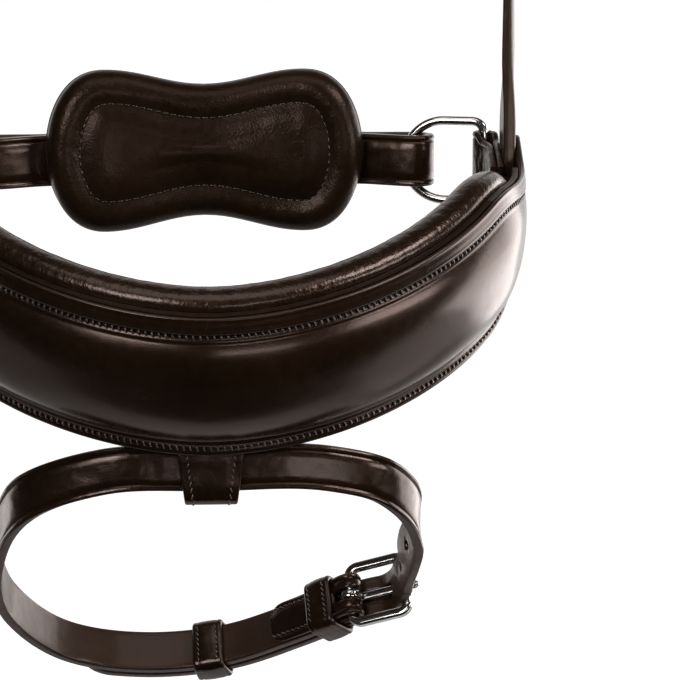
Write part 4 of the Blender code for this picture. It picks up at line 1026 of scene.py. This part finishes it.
def make_flash_loop():
    front, _, up, out = nose.frame(0.0)
    edge = front - up * PANEL_WIDTH / 2
    _, middle_y, middle_z = FLASH_MIDDLE
    half_eye = FLASH_EYE / 2 + FLASH_LOOP_LEATHER / 2
    bottom = middle_z - FLASH_WIDTH / 2 - FLASH_EYE_UNDER + FLASH_EYE / 2
    over = middle_z + FLASH_WIDTH / 2 + FLASH_LOOP_LEATHER / 2 + 0.0008
    outer_level = -0.0012 - FLASH_LOOP_LEATHER / 2
    inner_level = outer_level - FLASH_LOOP_LEATHER - GAP

    under = [(-half_eye, middle_z + 0.004), (-half_eye, middle_z)]
    under += arc((0.0, bottom), half_eye, 180, 360, 7)
    under += [(half_eye, middle_z), (half_eye, over - 0.0028), (half_eye - 0.0004, over - 0.0010),
              (half_eye - 0.0014, over - 0.0001), (half_eye - 0.0032, over)]
    knots = [edge + up * height + out * outer_level for height in (FLASH_LOOP_UP, 0.004, 0.0006)]
    knots += [(0.0, middle_y + y, z) for y, z in under]
    knots += [edge + up * height + out * inner_level for height in (0.0010, 0.0035, FLASH_LOOP_UP)]
    route = Route(spline(knots), (1.0, 0.0, 0.0))
    lowest = bottom - half_eye

    def width(at):
        height = route.read(route.points, at)[2]
        share = np.clip((height - lowest) / (edge[2] - lowest), 0.0, 1.0)
        return FLASH_LOOP_BOTTOM + (FLASH_LOOP_TOP - FLASH_LOOP_BOTTOM) * share

    skin = sweep(route, route.stations(route.start, route.end, 0.0012, math.radians(6)),
                 lambda at: strap_section(width(at), FLASH_LOOP_LEATHER, creased=False))
    skin.finish("flash_loop_leather", strap_leather, "nosepiece", ["flash_loop"])
    sewn = Skin()
    for side in (-1, 1):
        def spot(at, aside, side=side):
            inset = side * (width(at) / 2 - 0.0024)
            return on_face(route, at, inset + aside, FLASH_LOOP_LEATHER / 2)
        stitch_line(sewn, spot, 0.0125, 0.0305, slant=side * math.radians(24))
    sewn.finish("flash_loop_stitches", thread, "nosepiece", slot=None)


# Buckles, their folds and their keepers
def make_buckle(word, body, hinge, far, across, strap_width):
    """Frame and tongue; the frame goes from the hinge bar to the far bar, points in space."""
    along = unit(far - hinge)
    out = np.cross(along, across)
    bend = BUCKLE_CORNER
    length = np.linalg.norm(far - hinge)
    ahead = length - bend
    half = strap_width / 2 + BUCKLE_PLAY + BUCKLE_WIRE / 2 - bend
    flat = []
    for k, centre in enumerate(((ahead, half), (bend, half), (bend, -half), (ahead, -half))):
        flat += arc(centre, bend, 90 * k, 90 * k + 90, 10)
    skin = wire([hinge + along * s + across * w for s, w in flat], out, BUCKLE_WIRE, 3.0)
    name = word + "_buckle"
    skin.finish(name + "_bars", polished, body, [name + "_frame"], "buckle_metal")

    level = BUCKLE_WIRE / 2 + GAP + TONGUE_THICK / 2
    curve = [(s, level) for s in np.linspace(length + TONGUE_BEYOND, 0.001, 24)]
    curve += arc((0.0, 0.0), level, 90, 375, 60)
    route = Route([hinge + along * s + out * n for s, n in curve], across)

    def outline(at):
        tip = smooth((at - route.start) / 0.0012)
        return [(w, n, GRAIN) for w, n in oblong(TONGUE_WIDTH * (0.55 + 0.45 * tip),
                                                 TONGUE_THICK * (0.45 + 0.55 * tip), 3.0, 16)]

    stations = [route.start + step for step in (0.0, 0.0002, 0.0005, 0.0009, 0.0013)]
    stations += route.stations(route.start + 0.002, route.end, 0.003, math.radians(9))
    tongue = sweep(route, stations, outline)
    tongue.finish(name + "_pin", polished, word + "_tongue", [name + "_tongue"], "buckle_metal")


def cut_for_tongue(word, body, hinge, far, across, billet, folded):
    """Room in the billet in which the tongue tips, and a slot for it in the strap's fold."""
    along = unit(far - hinge)
    middle = (hinge + far) / 2
    reach = BUCKLE_LENGTH / 2 + 0.004
    low = BUCKLE_WIRE / 2 + GAP - 0.0005
    room = (middle - along * reach, middle, middle + along * reach)
    slot = (hinge - along * 0.0048, hinge, hinge + along * 0.006)
    for name, strip, points, levels in (
            ("_tongue_room", billet, room, (low, low + TONGUE_THICK + TONGUE_LIFT)),
            ("_fold_slot", folded, slot, (-0.006, 0.006))):
        route = Route(points, across)
        skin = block(route, route.start, route.end, TONGUE_WIDTH / 2 + 0.0005, *levels)
        cutter(skin, word + name, strip, body)


def billet_level(at, thickness, settled):
    """How far out a billet lies along a buckle: under its far bar, over its hinge bar."""
    under = -(BUCKLE_WIRE / 2 + thickness / 2 + GAP + 0.0005)
    over = FOLD_OUTSIDE + thickness / 2 + GAP
    return eased(-at, (-BUCKLE_LENGTH - 0.003, under), (-BUCKLE_LENGTH + 0.010, over),
                 (0.012, settled))


def pared(at, thickness):
    """The strap's thickness on its way to the fold at 0."""
    return eased(at, (-0.014, thickness), (-0.004, FOLD_LEATHER))


def flap_thickness(left):
    """Thickness of a flap, by the length left to its end."""
    return FOLD_LEATHER * (0.45 + 0.55 * smooth(left / 0.010))


def fold_path(start, thickness):
    """A strap up to the hinge bar, round it and back as a flap, as (place, out) points."""
    path = [(at, FOLD_OUTSIDE - pared(at, thickness) / 2) for at in np.arange(start, 0.0, 0.001)]
    path += arc((0.0, 0.0), FOLD_RADIUS, 90, -90, 13)
    under = FOLD_OUTSIDE - thickness - GAP - FOLD_LEATHER / 2
    return path + [(-back, eased(back, (0.001, -FOLD_RADIUS), (0.009, under)))
                   for back in np.arange(0.001, FLAP_LENGTH, 0.001)]


def sew_edges(skin, route, start, end, width, level):
    """Two stitch lines along a strap, one by each edge, level over the route's line."""
    for aside in (0.0021 - width / 2, width / 2 - 0.0021):
        def spot(at, offset, aside=aside):
            return on_face(route, at, aside + offset, level)
        stitch_line(skin, spot, start, end)


def sew_keeper(skin, route, start, length, width, level):
    """Stitches by both edges of a keeper, across the strap that it holds."""
    for place in (start + 0.0018, start + length - 0.0018):
        def spot(w, offset, place=place):
            return on_face(route, place + offset, w, level)
        stitch_line(skin, spot, -width / 2 + 0.0006, width / 2 - 0.0006)


def make_keepers(word, body, stitches, base, width, fixed, runner, edges, inside=False):
    """A strap's fixed keeper and runner, and its stitches.

    Fixed and runner are (start, low, high), and edges are (start, end, level) of stitch lines.
    """
    runner_name = word + "_runner"
    sewn = Skin()
    runner_sewn = Skin()
    for start, end, level in edges:
        sew_edges(sewn, base, start, end, width, level)
    for name, node, mover, (start, low, high), length, skin in (
            (word + "_keeper", word + "_fixed_keeper", body, fixed, FIXED_KEEPER_WIDTH, sewn),
            (runner_name, runner_name, runner_name, runner, RUNNER_WIDTH, runner_sewn)):
        band = keeper(base, start, length, width, low, high)
        band.finish(name + "_leather", strap_leather, mover, [node])
        sew_keeper(skin, base, start, length, width,
                   low - KEEPER_WALL if inside else high + KEEPER_WALL)
    sewn.finish(stitches, thread, body, slot=None)
    runner_sewn.finish(runner_name + "_stitches", thread, runner_name, slot=None)


# Head strap and cheek strap
def make_head_straps():
    low = -POLL_HEIGHT + HANGER_LOW
    top = HEAD_STRAP / 2
    flat = CROWN_FLAT / 2
    side = [(flat + (HANGER_X - flat) * math.cos(angle), top - ARCH_HEIGHT * (1 - math.sin(angle)))
            for angle in np.radians(np.linspace(90, 0, 61))]
    hinge_z = -CHEEK_BUCKLE_DOWN
    hinge_x = HANGER_X + HEAD_STRAP / 2 - FOLD_OUTSIDE
    settled = FOLD_OUTSIDE + HEAD_STRAP / 2 + GAP
    near = []
    for z in np.arange(top - ARCH_HEIGHT - 0.002, hinge_z - HEAD_BILLET, -0.001):
        x = hinge_x + billet_level(z - hinge_z, HEAD_STRAP, settled)
        straight = smooth((z - hinge_z - BUCKLE_LENGTH - 0.008) / 0.05)
        near.append((x + (HANGER_X - x) * straight, z))
    off = [(-x, z) for x, z in reversed(side)]
    off = [(-HANGER_X, z) for z in np.arange(low, off[0][1] - 0.002, 0.004)] + off
    route = Route([(x, 0.0, z) for x, z in off + side + near], (0.0, 1.0, 0.0))
    head = strap(route, HEAD_STRAP_WIDTH, lambda at: HEAD_STRAP, point=0.010, longest=0.004)
    head = head.finish("head_leather", strap_leather, "nosepiece", ["head_strap"])

    hinge = np.array([hinge_x, 0.0, hinge_z])
    far = hinge + np.array([0.0, 0.0, BUCKLE_LENGTH])
    across = np.array([0.0, -1.0, 0.0])
    make_buckle("cheek", "nosepiece", hinge, far, across, HEAD_STRAP_WIDTH)

    base = Route([(hinge_x, 0.0, z) for z in (low, hinge_z, hinge_z + 0.1)], across, zero=1)
    start = low - hinge_z
    cheek_route = beside(base, fold_path(start, HEAD_STRAP))
    for k, mark in enumerate(cheek_route.marks):
        free = mark - cheek_route.start - 0.020
        turned = CHEEK_TURN * smooth(free / 0.022) * smooth((0.115 - free) / 0.050)
        cheek_route.across[k] = (-math.sin(turned), -math.cos(turned), 0.0)

    def thickness(at):
        worn = CHEEK_WEAR * bump(at - 0.075, 0.060)
        if at < -start:
            return pared(at + start, HEAD_STRAP) - worn
        return flap_thickness(-start + 0.008 + FLAP_LENGTH - at) - worn

    cheek = strap(cheek_route, HEAD_STRAP_WIDTH, thickness, longest=0.004)
    cheek = cheek.finish("cheek_leather", strap_leather, "nosepiece", ["cheek_strap"])
    cut_for_tongue("cheek", "nosepiece", hinge, far, across, head, cheek)
    punch(route, [route.end - 0.024 - HOLE_PITCH * k for k in range(4)], HEAD_STRAP, "head",
          head, "nosepiece")

    back = FOLD_OUTSIDE - HEAD_STRAP - GAP
    flap_face = back - FOLD_LEATHER
    face = FOLD_OUTSIDE + HEAD_STRAP + 2 * GAP
    make_keepers("cheek", "nosepiece", "cheek_stitches", base, HEAD_STRAP_WIDTH,
                 (-0.021, flap_face - GAP, face), (-0.072, back, face),
                 ((-0.0275, -0.0220, flap_face), (-0.0115, -0.0090, flap_face)))


# Chin pad and chin straps: their route runs from the near to the off side, 0 in the middle
def chin_path():
    bow_x = NOSE_HALF_WIDTH - RING_BAR_INBOARD - RING_LENGTH * math.cos(RING_YAW)
    radius = bow_x / math.sin(RING_YAW)
    bow_y = RING_BAR_BACK + RING_LENGTH * math.sin(RING_YAW)
    points = []
    for s in np.arange(-CHIN_REACH, CHIN_REACH + FINE / 2, FINE):
        y = bow_y + radius * (math.cos(s / radius) - math.cos(RING_YAW))
        points.append(NOSE_CENTRE + np.array([-radius * math.sin(s / radius), y, RING_BAR_RISE]))
    return Route(points, (0.0, 0.0, 1.0), zero=len(points) // 2), radius * RING_YAW


chin, BOW_AT = chin_path()
CHIN_MAIN = -GAP / 2 - CHIN_STRAP / 2  # middle of the run that lies on the pad
CHIN_OVER = CHIN_MAIN + CHIN_STRAP + GAP  # middle of the run over it
PAD_BACK = CHIN_MAIN - CHIN_STRAP / 2 - GAP
PAD_RIM = PAD_BACK - CHIN_BACKING - GAP


def ring_fold(slack):
    """The strap out to a ring, round it and back, as (distance from the middle, out)."""
    inside = math.sqrt((RING_BOW - RING_WIRE / 2) ** 2 - (CHIN_STRAP_WIDTH / 2) ** 2)
    centre = BOW_AT + RING_BOW - inside - RING_FOLD_RADIUS / 2 + slack
    radius = RING_FOLD_RADIUS + CHIN_STRAP / 2

    def run(s, level, at_ring):
        return eased(s, (centre - 0.017, level), (centre - 0.001, at_ring))

    return (centre, arc((centre, 0.0), radius, -90, 90, 15),
            lambda s: run(s, CHIN_MAIN, -radius), lambda s: run(s, CHIN_OVER, radius))


def make_chin_straps():
    hinge_level = PAD_BACK + GAP + FOLD_OUTSIDE
    far_level = CHIN_OVER + CHIN_STRAP / 2 + GAP + BUCKLE_WIRE / 2 + 0.0006
    lean = math.sqrt(BUCKLE_LENGTH**2 - (far_level - hinge_level) ** 2)
    hinge = chin.place(CHIN_BUCKLE_AT, 0.0, hinge_level)
    far = chin.place(CHIN_BUCKLE_AT - lean, 0.0, far_level)
    across = -chin.frame(0.0)[2]

    # Near strap: along the pad, round the near ring and back through the buckle
    centre, fold, out_run, back_run = ring_fold(0.0)
    path = [(-s, out_run(s)) for s in np.arange(-CHIN_MAIN_END, centre, 0.001)]
    path += [(-s, n) for s, n in fold]
    over = hinge_level + FOLD_OUTSIDE + GAP + CHIN_STRAP / 2 + 0.0003
    settled = CHIN_MAIN + CHIN_STRAP + FOLD_LEATHER + 2 * GAP
    for s in np.arange(centre - 0.001, -CHIN_BILLET_END, -0.001):
        rise = eased(-s, (-0.0165, 0.0), (CHIN_BUCKLE_AT + 0.001, over - CHIN_OVER),
                     (CHIN_BUCKLE_AT + 0.0125, settled - CHIN_OVER))
        path.append((-s, back_run(s) + rise))
    near_route = beside(chin, path)
    near = strap(near_route, CHIN_STRAP_WIDTH, lambda at: CHIN_STRAP, point=0.009, longest=0.0025)
    near = near.finish("chin_leather_near", strap_leather, "chin", ["chin_strap_near"])

    # Off strap: sewn round the off ring, along the pad and round the buckle's hinge bar
    centre, fold, out_run, back_run = ring_fold(OFF_FOLD_SLACK)
    path = [(s, back_run(s)) for s in np.arange(OFF_FLAP_END, centre, 0.001)]
    path += fold[::-1]
    for s in np.arange(centre - 0.001, CHIN_BUCKLE_AT, -0.001):
        thin = pared(CHIN_BUCKLE_AT - s, CHIN_STRAP)
        path.append((s, out_run(s) - (CHIN_STRAP - thin) / 2))
    path += [(CHIN_BUCKLE_AT - s, n) for s, n in arc((0, hinge_level), FOLD_RADIUS, -90, 90, 13)]
    top = CHIN_MAIN + CHIN_STRAP / 2 + GAP + FOLD_LEATHER / 2
    flap = FLAP_LENGTH - 0.004
    for back in np.arange(0.001, flap, 0.001):
        level = eased(back, (0.001, hinge_level + FOLD_RADIUS), (0.010, top))
        path.append((CHIN_BUCKLE_AT + back, level))
    off_route = beside(chin, path)
    round_bar = flap + math.pi * FOLD_RADIUS

    def thickness(at):
        left = off_route.end - at
        return pared(round_bar - left, CHIN_STRAP) if left > round_bar else flap_thickness(left)

    off = strap(off_route, CHIN_STRAP_WIDTH, thickness, longest=0.0025)
    off = off.finish("chin_leather_off", strap_leather, "chin", ["chin_strap_off"])
    make_buckle("crank", "chin", hinge, far, across, CHIN_STRAP_WIDTH)
    cut_for_tongue("crank", "chin", hinge, far, across, near, off)
    places = [near_route.end - first - HOLE_PITCH * k for first in (0.016, 0.085) for k in (0, 1)]
    punch(near_route, places, CHIN_STRAP, "chin", near, "chin")

    levels = (PAD_BACK, settled + CHIN_STRAP / 2 + GAP)
    make_keepers("crank", "chin", "chin_stitches", chin, CHIN_STRAP_WIDTH,
                 (CHIN_BUCKLE_AT + CRANK_KEEPER_AT, *levels),
                 (CHIN_BUCKLE_AT + CRANK_RUNNER_AT, *levels),
                 ((OFF_FLAP_END + 0.001, OFF_FLAP_END + 0.011, CHIN_OVER + CHIN_STRAP / 2),))


def pad_outline(inset, count=144):
    """The chin pad's outline, drawn in by inset, as (along, aside) from its middle."""
    half = CHIN_PAD_HALF - inset
    outline = []
    for k in range(count):
        angle = 2 * math.pi * k / count
        s = half * math.copysign(abs(math.cos(angle)) ** 0.85, math.cos(angle))
        lobe = math.sin(min(1.0, abs(s) / CHIN_LOBE_AT) * math.pi / 2) ** 2
        height = CHIN_PAD_WAIST - inset + (CHIN_PAD_LOBE - CHIN_PAD_WAIST) * lobe
        beyond = max(0.0, abs(s) - CHIN_LOBE_AT) / (half - CHIN_LOBE_AT)
        height *= math.sqrt(max(0.0, 1 - beyond**2.3))
        w = math.copysign(height, math.sin(angle)) if k % (count // 2) else 0.0
        outline.append((s, w))
    return outline


def pad_point(s, w, level):
    return chin.place(s, CHIN_PAD_RISE + w, level)


def pad_plate(skin, outline, level):
    """Fills an outline crosswise at a level, so that the face follows the pad's curve."""
    half = len(outline) // 2
    rows = []
    for k in range(1, half):
        near = np.array(outline[k])
        far = np.array(outline[-k])
        rows.append(skin.ring([pad_point(*(near + (far - near) * share), level)
                               for share in np.linspace(0, 1, 8)]))
    skin.field(rows, [skin.ring([pad_point(*outline[k], level)])[0] for k in (0, half)])


def lumps(s, w):
    return noise.noise(Vector((s / 0.010, w / 0.010, 5.0)))


def pad_dome(skin, inset, mark=GRAIN):
    """The pad's soft side with its sewn channel, drawn in by inset; returns the rim."""
    outside = inset == 0.0
    knots = ((0.0, 0.0), (0.0, 0.14), (-0.0004, 0.30), (0.0003, 0.50), (0.0020, 0.67),
             (0.0044, 0.760), (0.0066, 0.760), (CHIN_CHANNEL - 0.0010, 0.715),
             (CHIN_CHANNEL, CHIN_CHANNEL_SHARE), (CHIN_CHANNEL + 0.0012, 0.72),
             (CHIN_CHANNEL + 0.0030, 0.78), (0.0146, 0.83), (0.0172, 0.86))
    rings = []
    for aside, rise in spline([(aside, CHIN_PAD_DEPTH * share) for aside, share in knots], 4):
        level = PAD_RIM - rise + inset * (rise > 0.0001)
        drawn = max(0.0, aside) + inset * (1 - smooth(aside / CHIN_CHANNEL))
        outline = pad_outline(drawn + min(0.0, aside) * outside)
        roll = bump(aside - 0.0060, 0.0045)
        points = []
        for k, (s, w) in enumerate(outline):
            fold = 0.00022 * roll * pucker(0.280 * k / len(outline), 11.0)
            lump = 0.00018 * lumps(s, w) * smooth(aside / 0.004)
            points.append(pad_point(s, w, level + (fold + lump) * outside))
        rings.append(skin.ring(points, mark))
    skin.join(rings)
    inner = rings[-1]
    half = len(inner) // 2
    outward = chin.frame(0.0)[3]
    rows = []
    for k in range(1, half):
        first = np.array(skin.corners[inner[k]])
        last = np.array(skin.corners[inner[-k]])
        reach = min(abs(first[0] - skin.corners[inner[end]][0]) for end in (0, half))
        inside = []
        for share in np.linspace(0, 1, 8)[1:-1]:
            point = first + (last - first) * share
            arch = CHIN_CROWN * math.sin(math.pi * share) * smooth(reach / 0.018)
            arch *= 1 + 0.3 * lumps(point[0], point[2])
            inside.append(point - outward * arch * outside)
        rows.append([inner[k]] + skin.ring(inside, mark) + [inner[-k]])
    skin.field(rows, (inner[0], inner[half]))
    return rings[0]


def make_chin_pad():
    skin = Skin()
    skin.bridge(pad_dome(skin, 0.0), pad_dome(skin, PAD_COVER, FLESH))
    cover = skin.finish("chin_pad_leather", chin_leather, "chin", ["chin_pad_cover"],
                        "padding_leather")
    skin = Skin()
    pad_dome(skin, PAD_COVER + GAP)
    pad_plate(skin, pad_outline(PAD_COVER + GAP), PAD_RIM)
    stuffing = skin.finish("chin_pad_stuffing", foam, "chin", ["chin_pad_foam"],
                           "padding_foam")

    skin = Skin()
    rings = []
    for inset, level, mark in ((0.0004, PAD_BACK, GRAIN), (0.0, PAD_BACK - 0.0004, EDGE),
                               (0.0, PAD_BACK - CHIN_BACKING + 0.0004, EDGE),
                               (0.0004, PAD_BACK - CHIN_BACKING, EDGE)):
        rings.append(skin.ring([pad_point(s, w, level) for s, w in pad_outline(inset)], mark))
    skin.join(rings)
    for ring in (rings[0], rings[-1]):
        half = len(ring) // 2
        skin.field([[ring[k], ring[-k]] for k in range(1, half)], (ring[0], ring[half]))
    backing = skin.finish("chin_backing_leather", lining_leather, "chin", ["chin_pad_backing"],
                          "lining_leather")
    half = CHIN_STRAP_WIDTH / 2 + KEEPER_WALL + 2 * GAP
    for name, start, length in (("fixed_keeper_room", CRANK_KEEPER_AT, FIXED_KEEPER_WIDTH),
                                ("runner_room", 0.0250, RUNNER_WIDTH + 0.0070)):
        start += CHIN_BUCKLE_AT
        cutter(block(chin, start - GAP, start + length + GAP, half,
                     PAD_BACK - CHIN_BACKING - 0.001, PAD_BACK + 0.001), name, backing, "chin")

    sewn = Skin()
    channel = pad_outline(CHIN_CHANNEL)
    level = PAD_RIM - CHIN_PAD_DEPTH * CHIN_CHANNEL_SHARE
    around = Route([pad_point(s, w, level) for s, w in channel + channel[:1]],
                   -chin.frame(0.0)[3])

    def spot(at, aside):
        point, _, outward, inward = around.frame(at)
        return point + inward * aside, outward

    stitch_line(sewn, spot, around.start, around.end, 0.0024, 0.0019, 0.0, 0.00020)
    sewn.finish("chin_pad_stitches", dark_thread, "chin", slot=None)


# Flash strap: a loop that hangs in its own slope; its route starts at the buckle
def flash_path():
    slope = np.array([0.0, math.cos(FLASH_SLOPE), -math.sin(FLASH_SLOPE)])
    x, q = FLASH_AT_BUCKLE
    far = (x + BUCKLE_LENGTH * math.cos(FLASH_BUCKLE_TURN),
           q + BUCKLE_LENGTH * math.sin(FLASH_BUCKLE_TURN))
    knots = [FLASH_AT_BUCKLE, far] + FLASH_RUN
    turn = 12 * len(knots)
    points = []
    across = []
    for x, q in spline(knots * 2 + knots[:2])[:2 * turn + 1]:
        lean = FLASH_LEAN + (FLASH_BACK_LEAN - FLASH_LEAN) * smooth(q / 0.095)
        points.append(FLASH_MIDDLE + np.array([x, 0.0, 0.0]) + slope * q)
        roll = FLASH_ROLL * bump(q - 0.044, 0.020) * (x > 0)
        across.append((math.sin(roll), -math.sin(lean), -math.cos(lean)))
    return Route(points, across, zero=turn)


def make_flash():
    base = flash_path()
    hinge = base.place(0.0, 0.0, 0.0)
    far = base.place(BUCKLE_LENGTH, 0.0, 0.0)
    across = base.frame(BUCKLE_LENGTH / 2)[2]
    make_buckle("flash", "flash", hinge, far, across, FLASH_WIDTH)

    # From the billet's point through the buckle, round the loop and into the fold
    settled = FOLD_OUTSIDE + FLASH_STRAP / 2 + GAP
    under = billet_level(BUCKLE_LENGTH + 0.01, FLASH_STRAP, settled)
    main = FOLD_OUTSIDE - FLASH_STRAP / 2
    points = []
    sides = []
    for at in np.arange(-FLASH_BILLET, base.end - 0.030, 0.001):
        level = billet_level(at, FLASH_STRAP, settled)
        level += eased(at, (BUCKLE_LENGTH + 0.006, 0.0), (BUCKLE_LENGTH + 0.050, -under),
                       (base.end - 0.125, -under), (base.end - 0.075, main - under))
        points.append(base.place(at, 0.0, level))
        sides.append(base.frame(at)[2])
    for at, out in fold_path(-0.030, FLASH_STRAP):
        point, along, side, outward = base.frame(min(at, 0.0))
        points.append(point + outward * out + along * max(at, 0.0))
        sides.append(side)
    route = Route(points[::-1], [-side for side in sides[::-1]])
    flap_and_fold = FLAP_LENGTH + 0.0085

    def thickness(at):
        if at < flap_and_fold:
            return FOLD_LEATHER * (0.25 + 0.75 * smooth(at / 0.016))
        return eased(at - flap_and_fold, (0.004, FOLD_LEATHER), (0.014, FLASH_STRAP))

    band = strap(route, FLASH_WIDTH, thickness, point=0.009, longest=0.0022, rounding=0.0045)
    band = band.finish("flash_leather", strap_leather, "flash", ["flash_strap"])
    cut_for_tongue("flash", "flash", hinge, far, across, band, band)
    places = [route.end - 0.020 - HOLE_PITCH * k for k in range(4)]
    places += [route.end - FLASH_BILLET - 0.034 - HOLE_PITCH * k for k in range(2)]
    punch(route, places, FLASH_STRAP, "flash", band, "flash")

    flap_back = -FOLD_OUTSIDE + 0.0007  # where the flap leaves the bar
    back = FOLD_OUTSIDE - FLASH_STRAP - GAP
    face = FOLD_OUTSIDE + FLASH_STRAP + 2 * GAP
    make_keepers("flash", "flash", "flash_stitches", base, FLASH_WIDTH,
                 (-0.0140, flap_back, face), (-0.0560, back - 0.0004, face + 0.0003),
                 ((-0.0285, -0.0150, back - FOLD_LEATHER),), inside=True)


make_nosepiece()
for side, word in ((1, "near"), (-1, "off")):
    make_ring(word, side)
    make_ring_loop(word, side)
make_flash_loop()
make_head_straps()
make_chin_straps()
make_chin_pad()
make_flash()


# Camera, floor and light
def make_camera():
    forward = Vector((math.sin(-CAMERA_YAW) * math.cos(CAMERA_PITCH),
                      math.cos(CAMERA_YAW) * math.cos(CAMERA_PITCH), -math.sin(CAMERA_PITCH)))
    right = Vector((math.cos(CAMERA_YAW), math.sin(CAMERA_YAW), 0.0))
    up = right.cross(forward)
    x, y = [(pixel - PICTURE / 2) / FOCAL_PIXELS * CAMERA_DISTANCE for pixel in NOSE_PIXEL]
    lens = bpy.data.cameras.new("camera")
    lens.sensor_width = 36.0
    lens.lens = FOCAL_PIXELS / PICTURE * lens.sensor_width
    lens.clip_end = 50.0
    camera = bpy.data.objects.new("camera", lens)
    bpy.context.collection.objects.link(camera)
    place = Vector(NOSE_CENTRE) - right * x + up * y - forward * CAMERA_DISTANCE
    turn = Matrix((right, up, -forward)).transposed().to_4x4()
    camera.matrix_world = Matrix.Translation(place) @ turn
    bpy.context.scene.camera = camera


def ray_share(shader, share, *kinds):
    """1 for rays of these kinds, and share for all the others."""
    path = shader.node("LightPath", {}, kinds[0]).node
    for kind in kinds:
        share = shader.combine("MAXIMUM", share, path.outputs[kind])
    return share


def make_floor():
    shape = bmesh.new()
    bmesh.ops.create_grid(shape, x_segments=1, y_segments=1, size=FLOOR_HALF)
    mesh = bpy.data.meshes.new("floor")
    shape.to_mesh(mesh)
    shape.free()
    floor = bpy.data.objects.new("floor", mesh)
    floor.location = (0.0, FLOOR_FRONT + FLOOR_HALF, cad_box[0][2] - FLOOR_DROP)
    bpy.context.collection.objects.link(floor)
    shader = Shader(bpy.data.materials.new("pale_floor"))
    mesh.materials.append(shader.surface(Base_Color=(0.80, 0.80, 0.80, 1.0), Roughness=0.8))
    kinds = ("Is Camera Ray", "Is Glossy Ray", "Is Transmission Ray")
    behind = shader.node("SeparateXYZ", {"Vector": shader.place}, "Y")
    behind = shader.spread(behind, 0.0, 1.0, GLOW_FROM - FLOOR_FRONT - FLOOR_HALF,
                           GLOW_FULL - FLOOR_FRONT - FLOOR_HALF)
    share = shader.combine("MULTIPLY", ray_share(shader, 0.0, *kinds), behind)
    dark, white = [shader.node("Emission", {"Color": (1.0, 1.0, 1.0, 1.0), "Strength": power},
                               "Emission") for power in (0.0, 0.95)]
    glow = shader.node("MixShader", {"Fac": share, 1: dark, 2: white}, "Shader")
    surface = shader.tree.nodes["Principled BSDF"].outputs["BSDF"]
    shown = shader.node("AddShader", {0: surface, 1: glow}, "Shader")
    shader.feed(shader.tree.nodes["Material Output"].inputs["Surface"], shown)


def make_world():
    """White behind the object, dim behind the camera, so that leather keeps its depth."""
    world = bpy.data.worlds.new("studio")
    bpy.context.scene.world = world
    shader = Shader(world)
    place = shader.place.node.outputs["Generated"]
    fade = shader.spread(shader.node("SeparateXYZ", {"Vector": place}, "Y"), 0.02, 1.0,
                         0.30, 0.95, interpolation_type="SMOOTHSTEP")
    background = shader.tree.nodes["Background"].inputs
    shader.feed(background["Color"], (1.0, 1.0, 1.0, 1.0))
    shader.feed(background["Strength"], ray_share(shader, fade, "Is Camera Ray"))


def soft_box(name, place, width, height, power, tint):
    data = bpy.data.lights.new(name, "AREA")
    data.shape = "RECTANGLE"
    data.size = width
    data.size_y = height
    data.energy = power
    data.color = tint
    lamp = bpy.data.objects.new(name, data)
    bpy.context.collection.objects.link(lamp)
    turn = (Vector(LAMPS_AIM) - Vector(place)).to_track_quat("-Z", "Y").to_matrix().to_4x4()
    lamp.matrix_world = Matrix.Translation(Vector(place)) @ turn


make_camera()
make_floor()
make_world()
soft_box("right_box", (0.92, 0.46, -0.60), 0.95, 0.76, 8.0, (1.0, 0.96, 0.955))
soft_box("low_box", (0.72, 0.10, -1.08), 0.40, 0.36, 0.25, WARM)
soft_box("side_box", (0.95, -0.55, -0.42), 0.50, 0.20, 2.2, WARM)
soft_box("high_box", (0.72, -0.46, 0.13), 0.46, 0.28, 4.4, WARM)
soft_box("top_box", (-0.05, -0.55, 0.45), 1.0, 0.6, 2.4, (1.0, 0.96, 0.95))
soft_box("front_box", (-0.55, -1.05, -0.15), 0.45, 0.45, 5.0, (1.0, 0.96, 0.95))
soft_box("left_box", (-0.9, 0.60, -0.8), 0.4, 0.6, 1.4, (1.0, 1.0, 1.0))
soft_box("strap_box", (0.33, -1.05, -0.60), 0.50, 0.14, 0.8, WARM)
bpy.context.scene.view_settings.view_transform = "Standard"
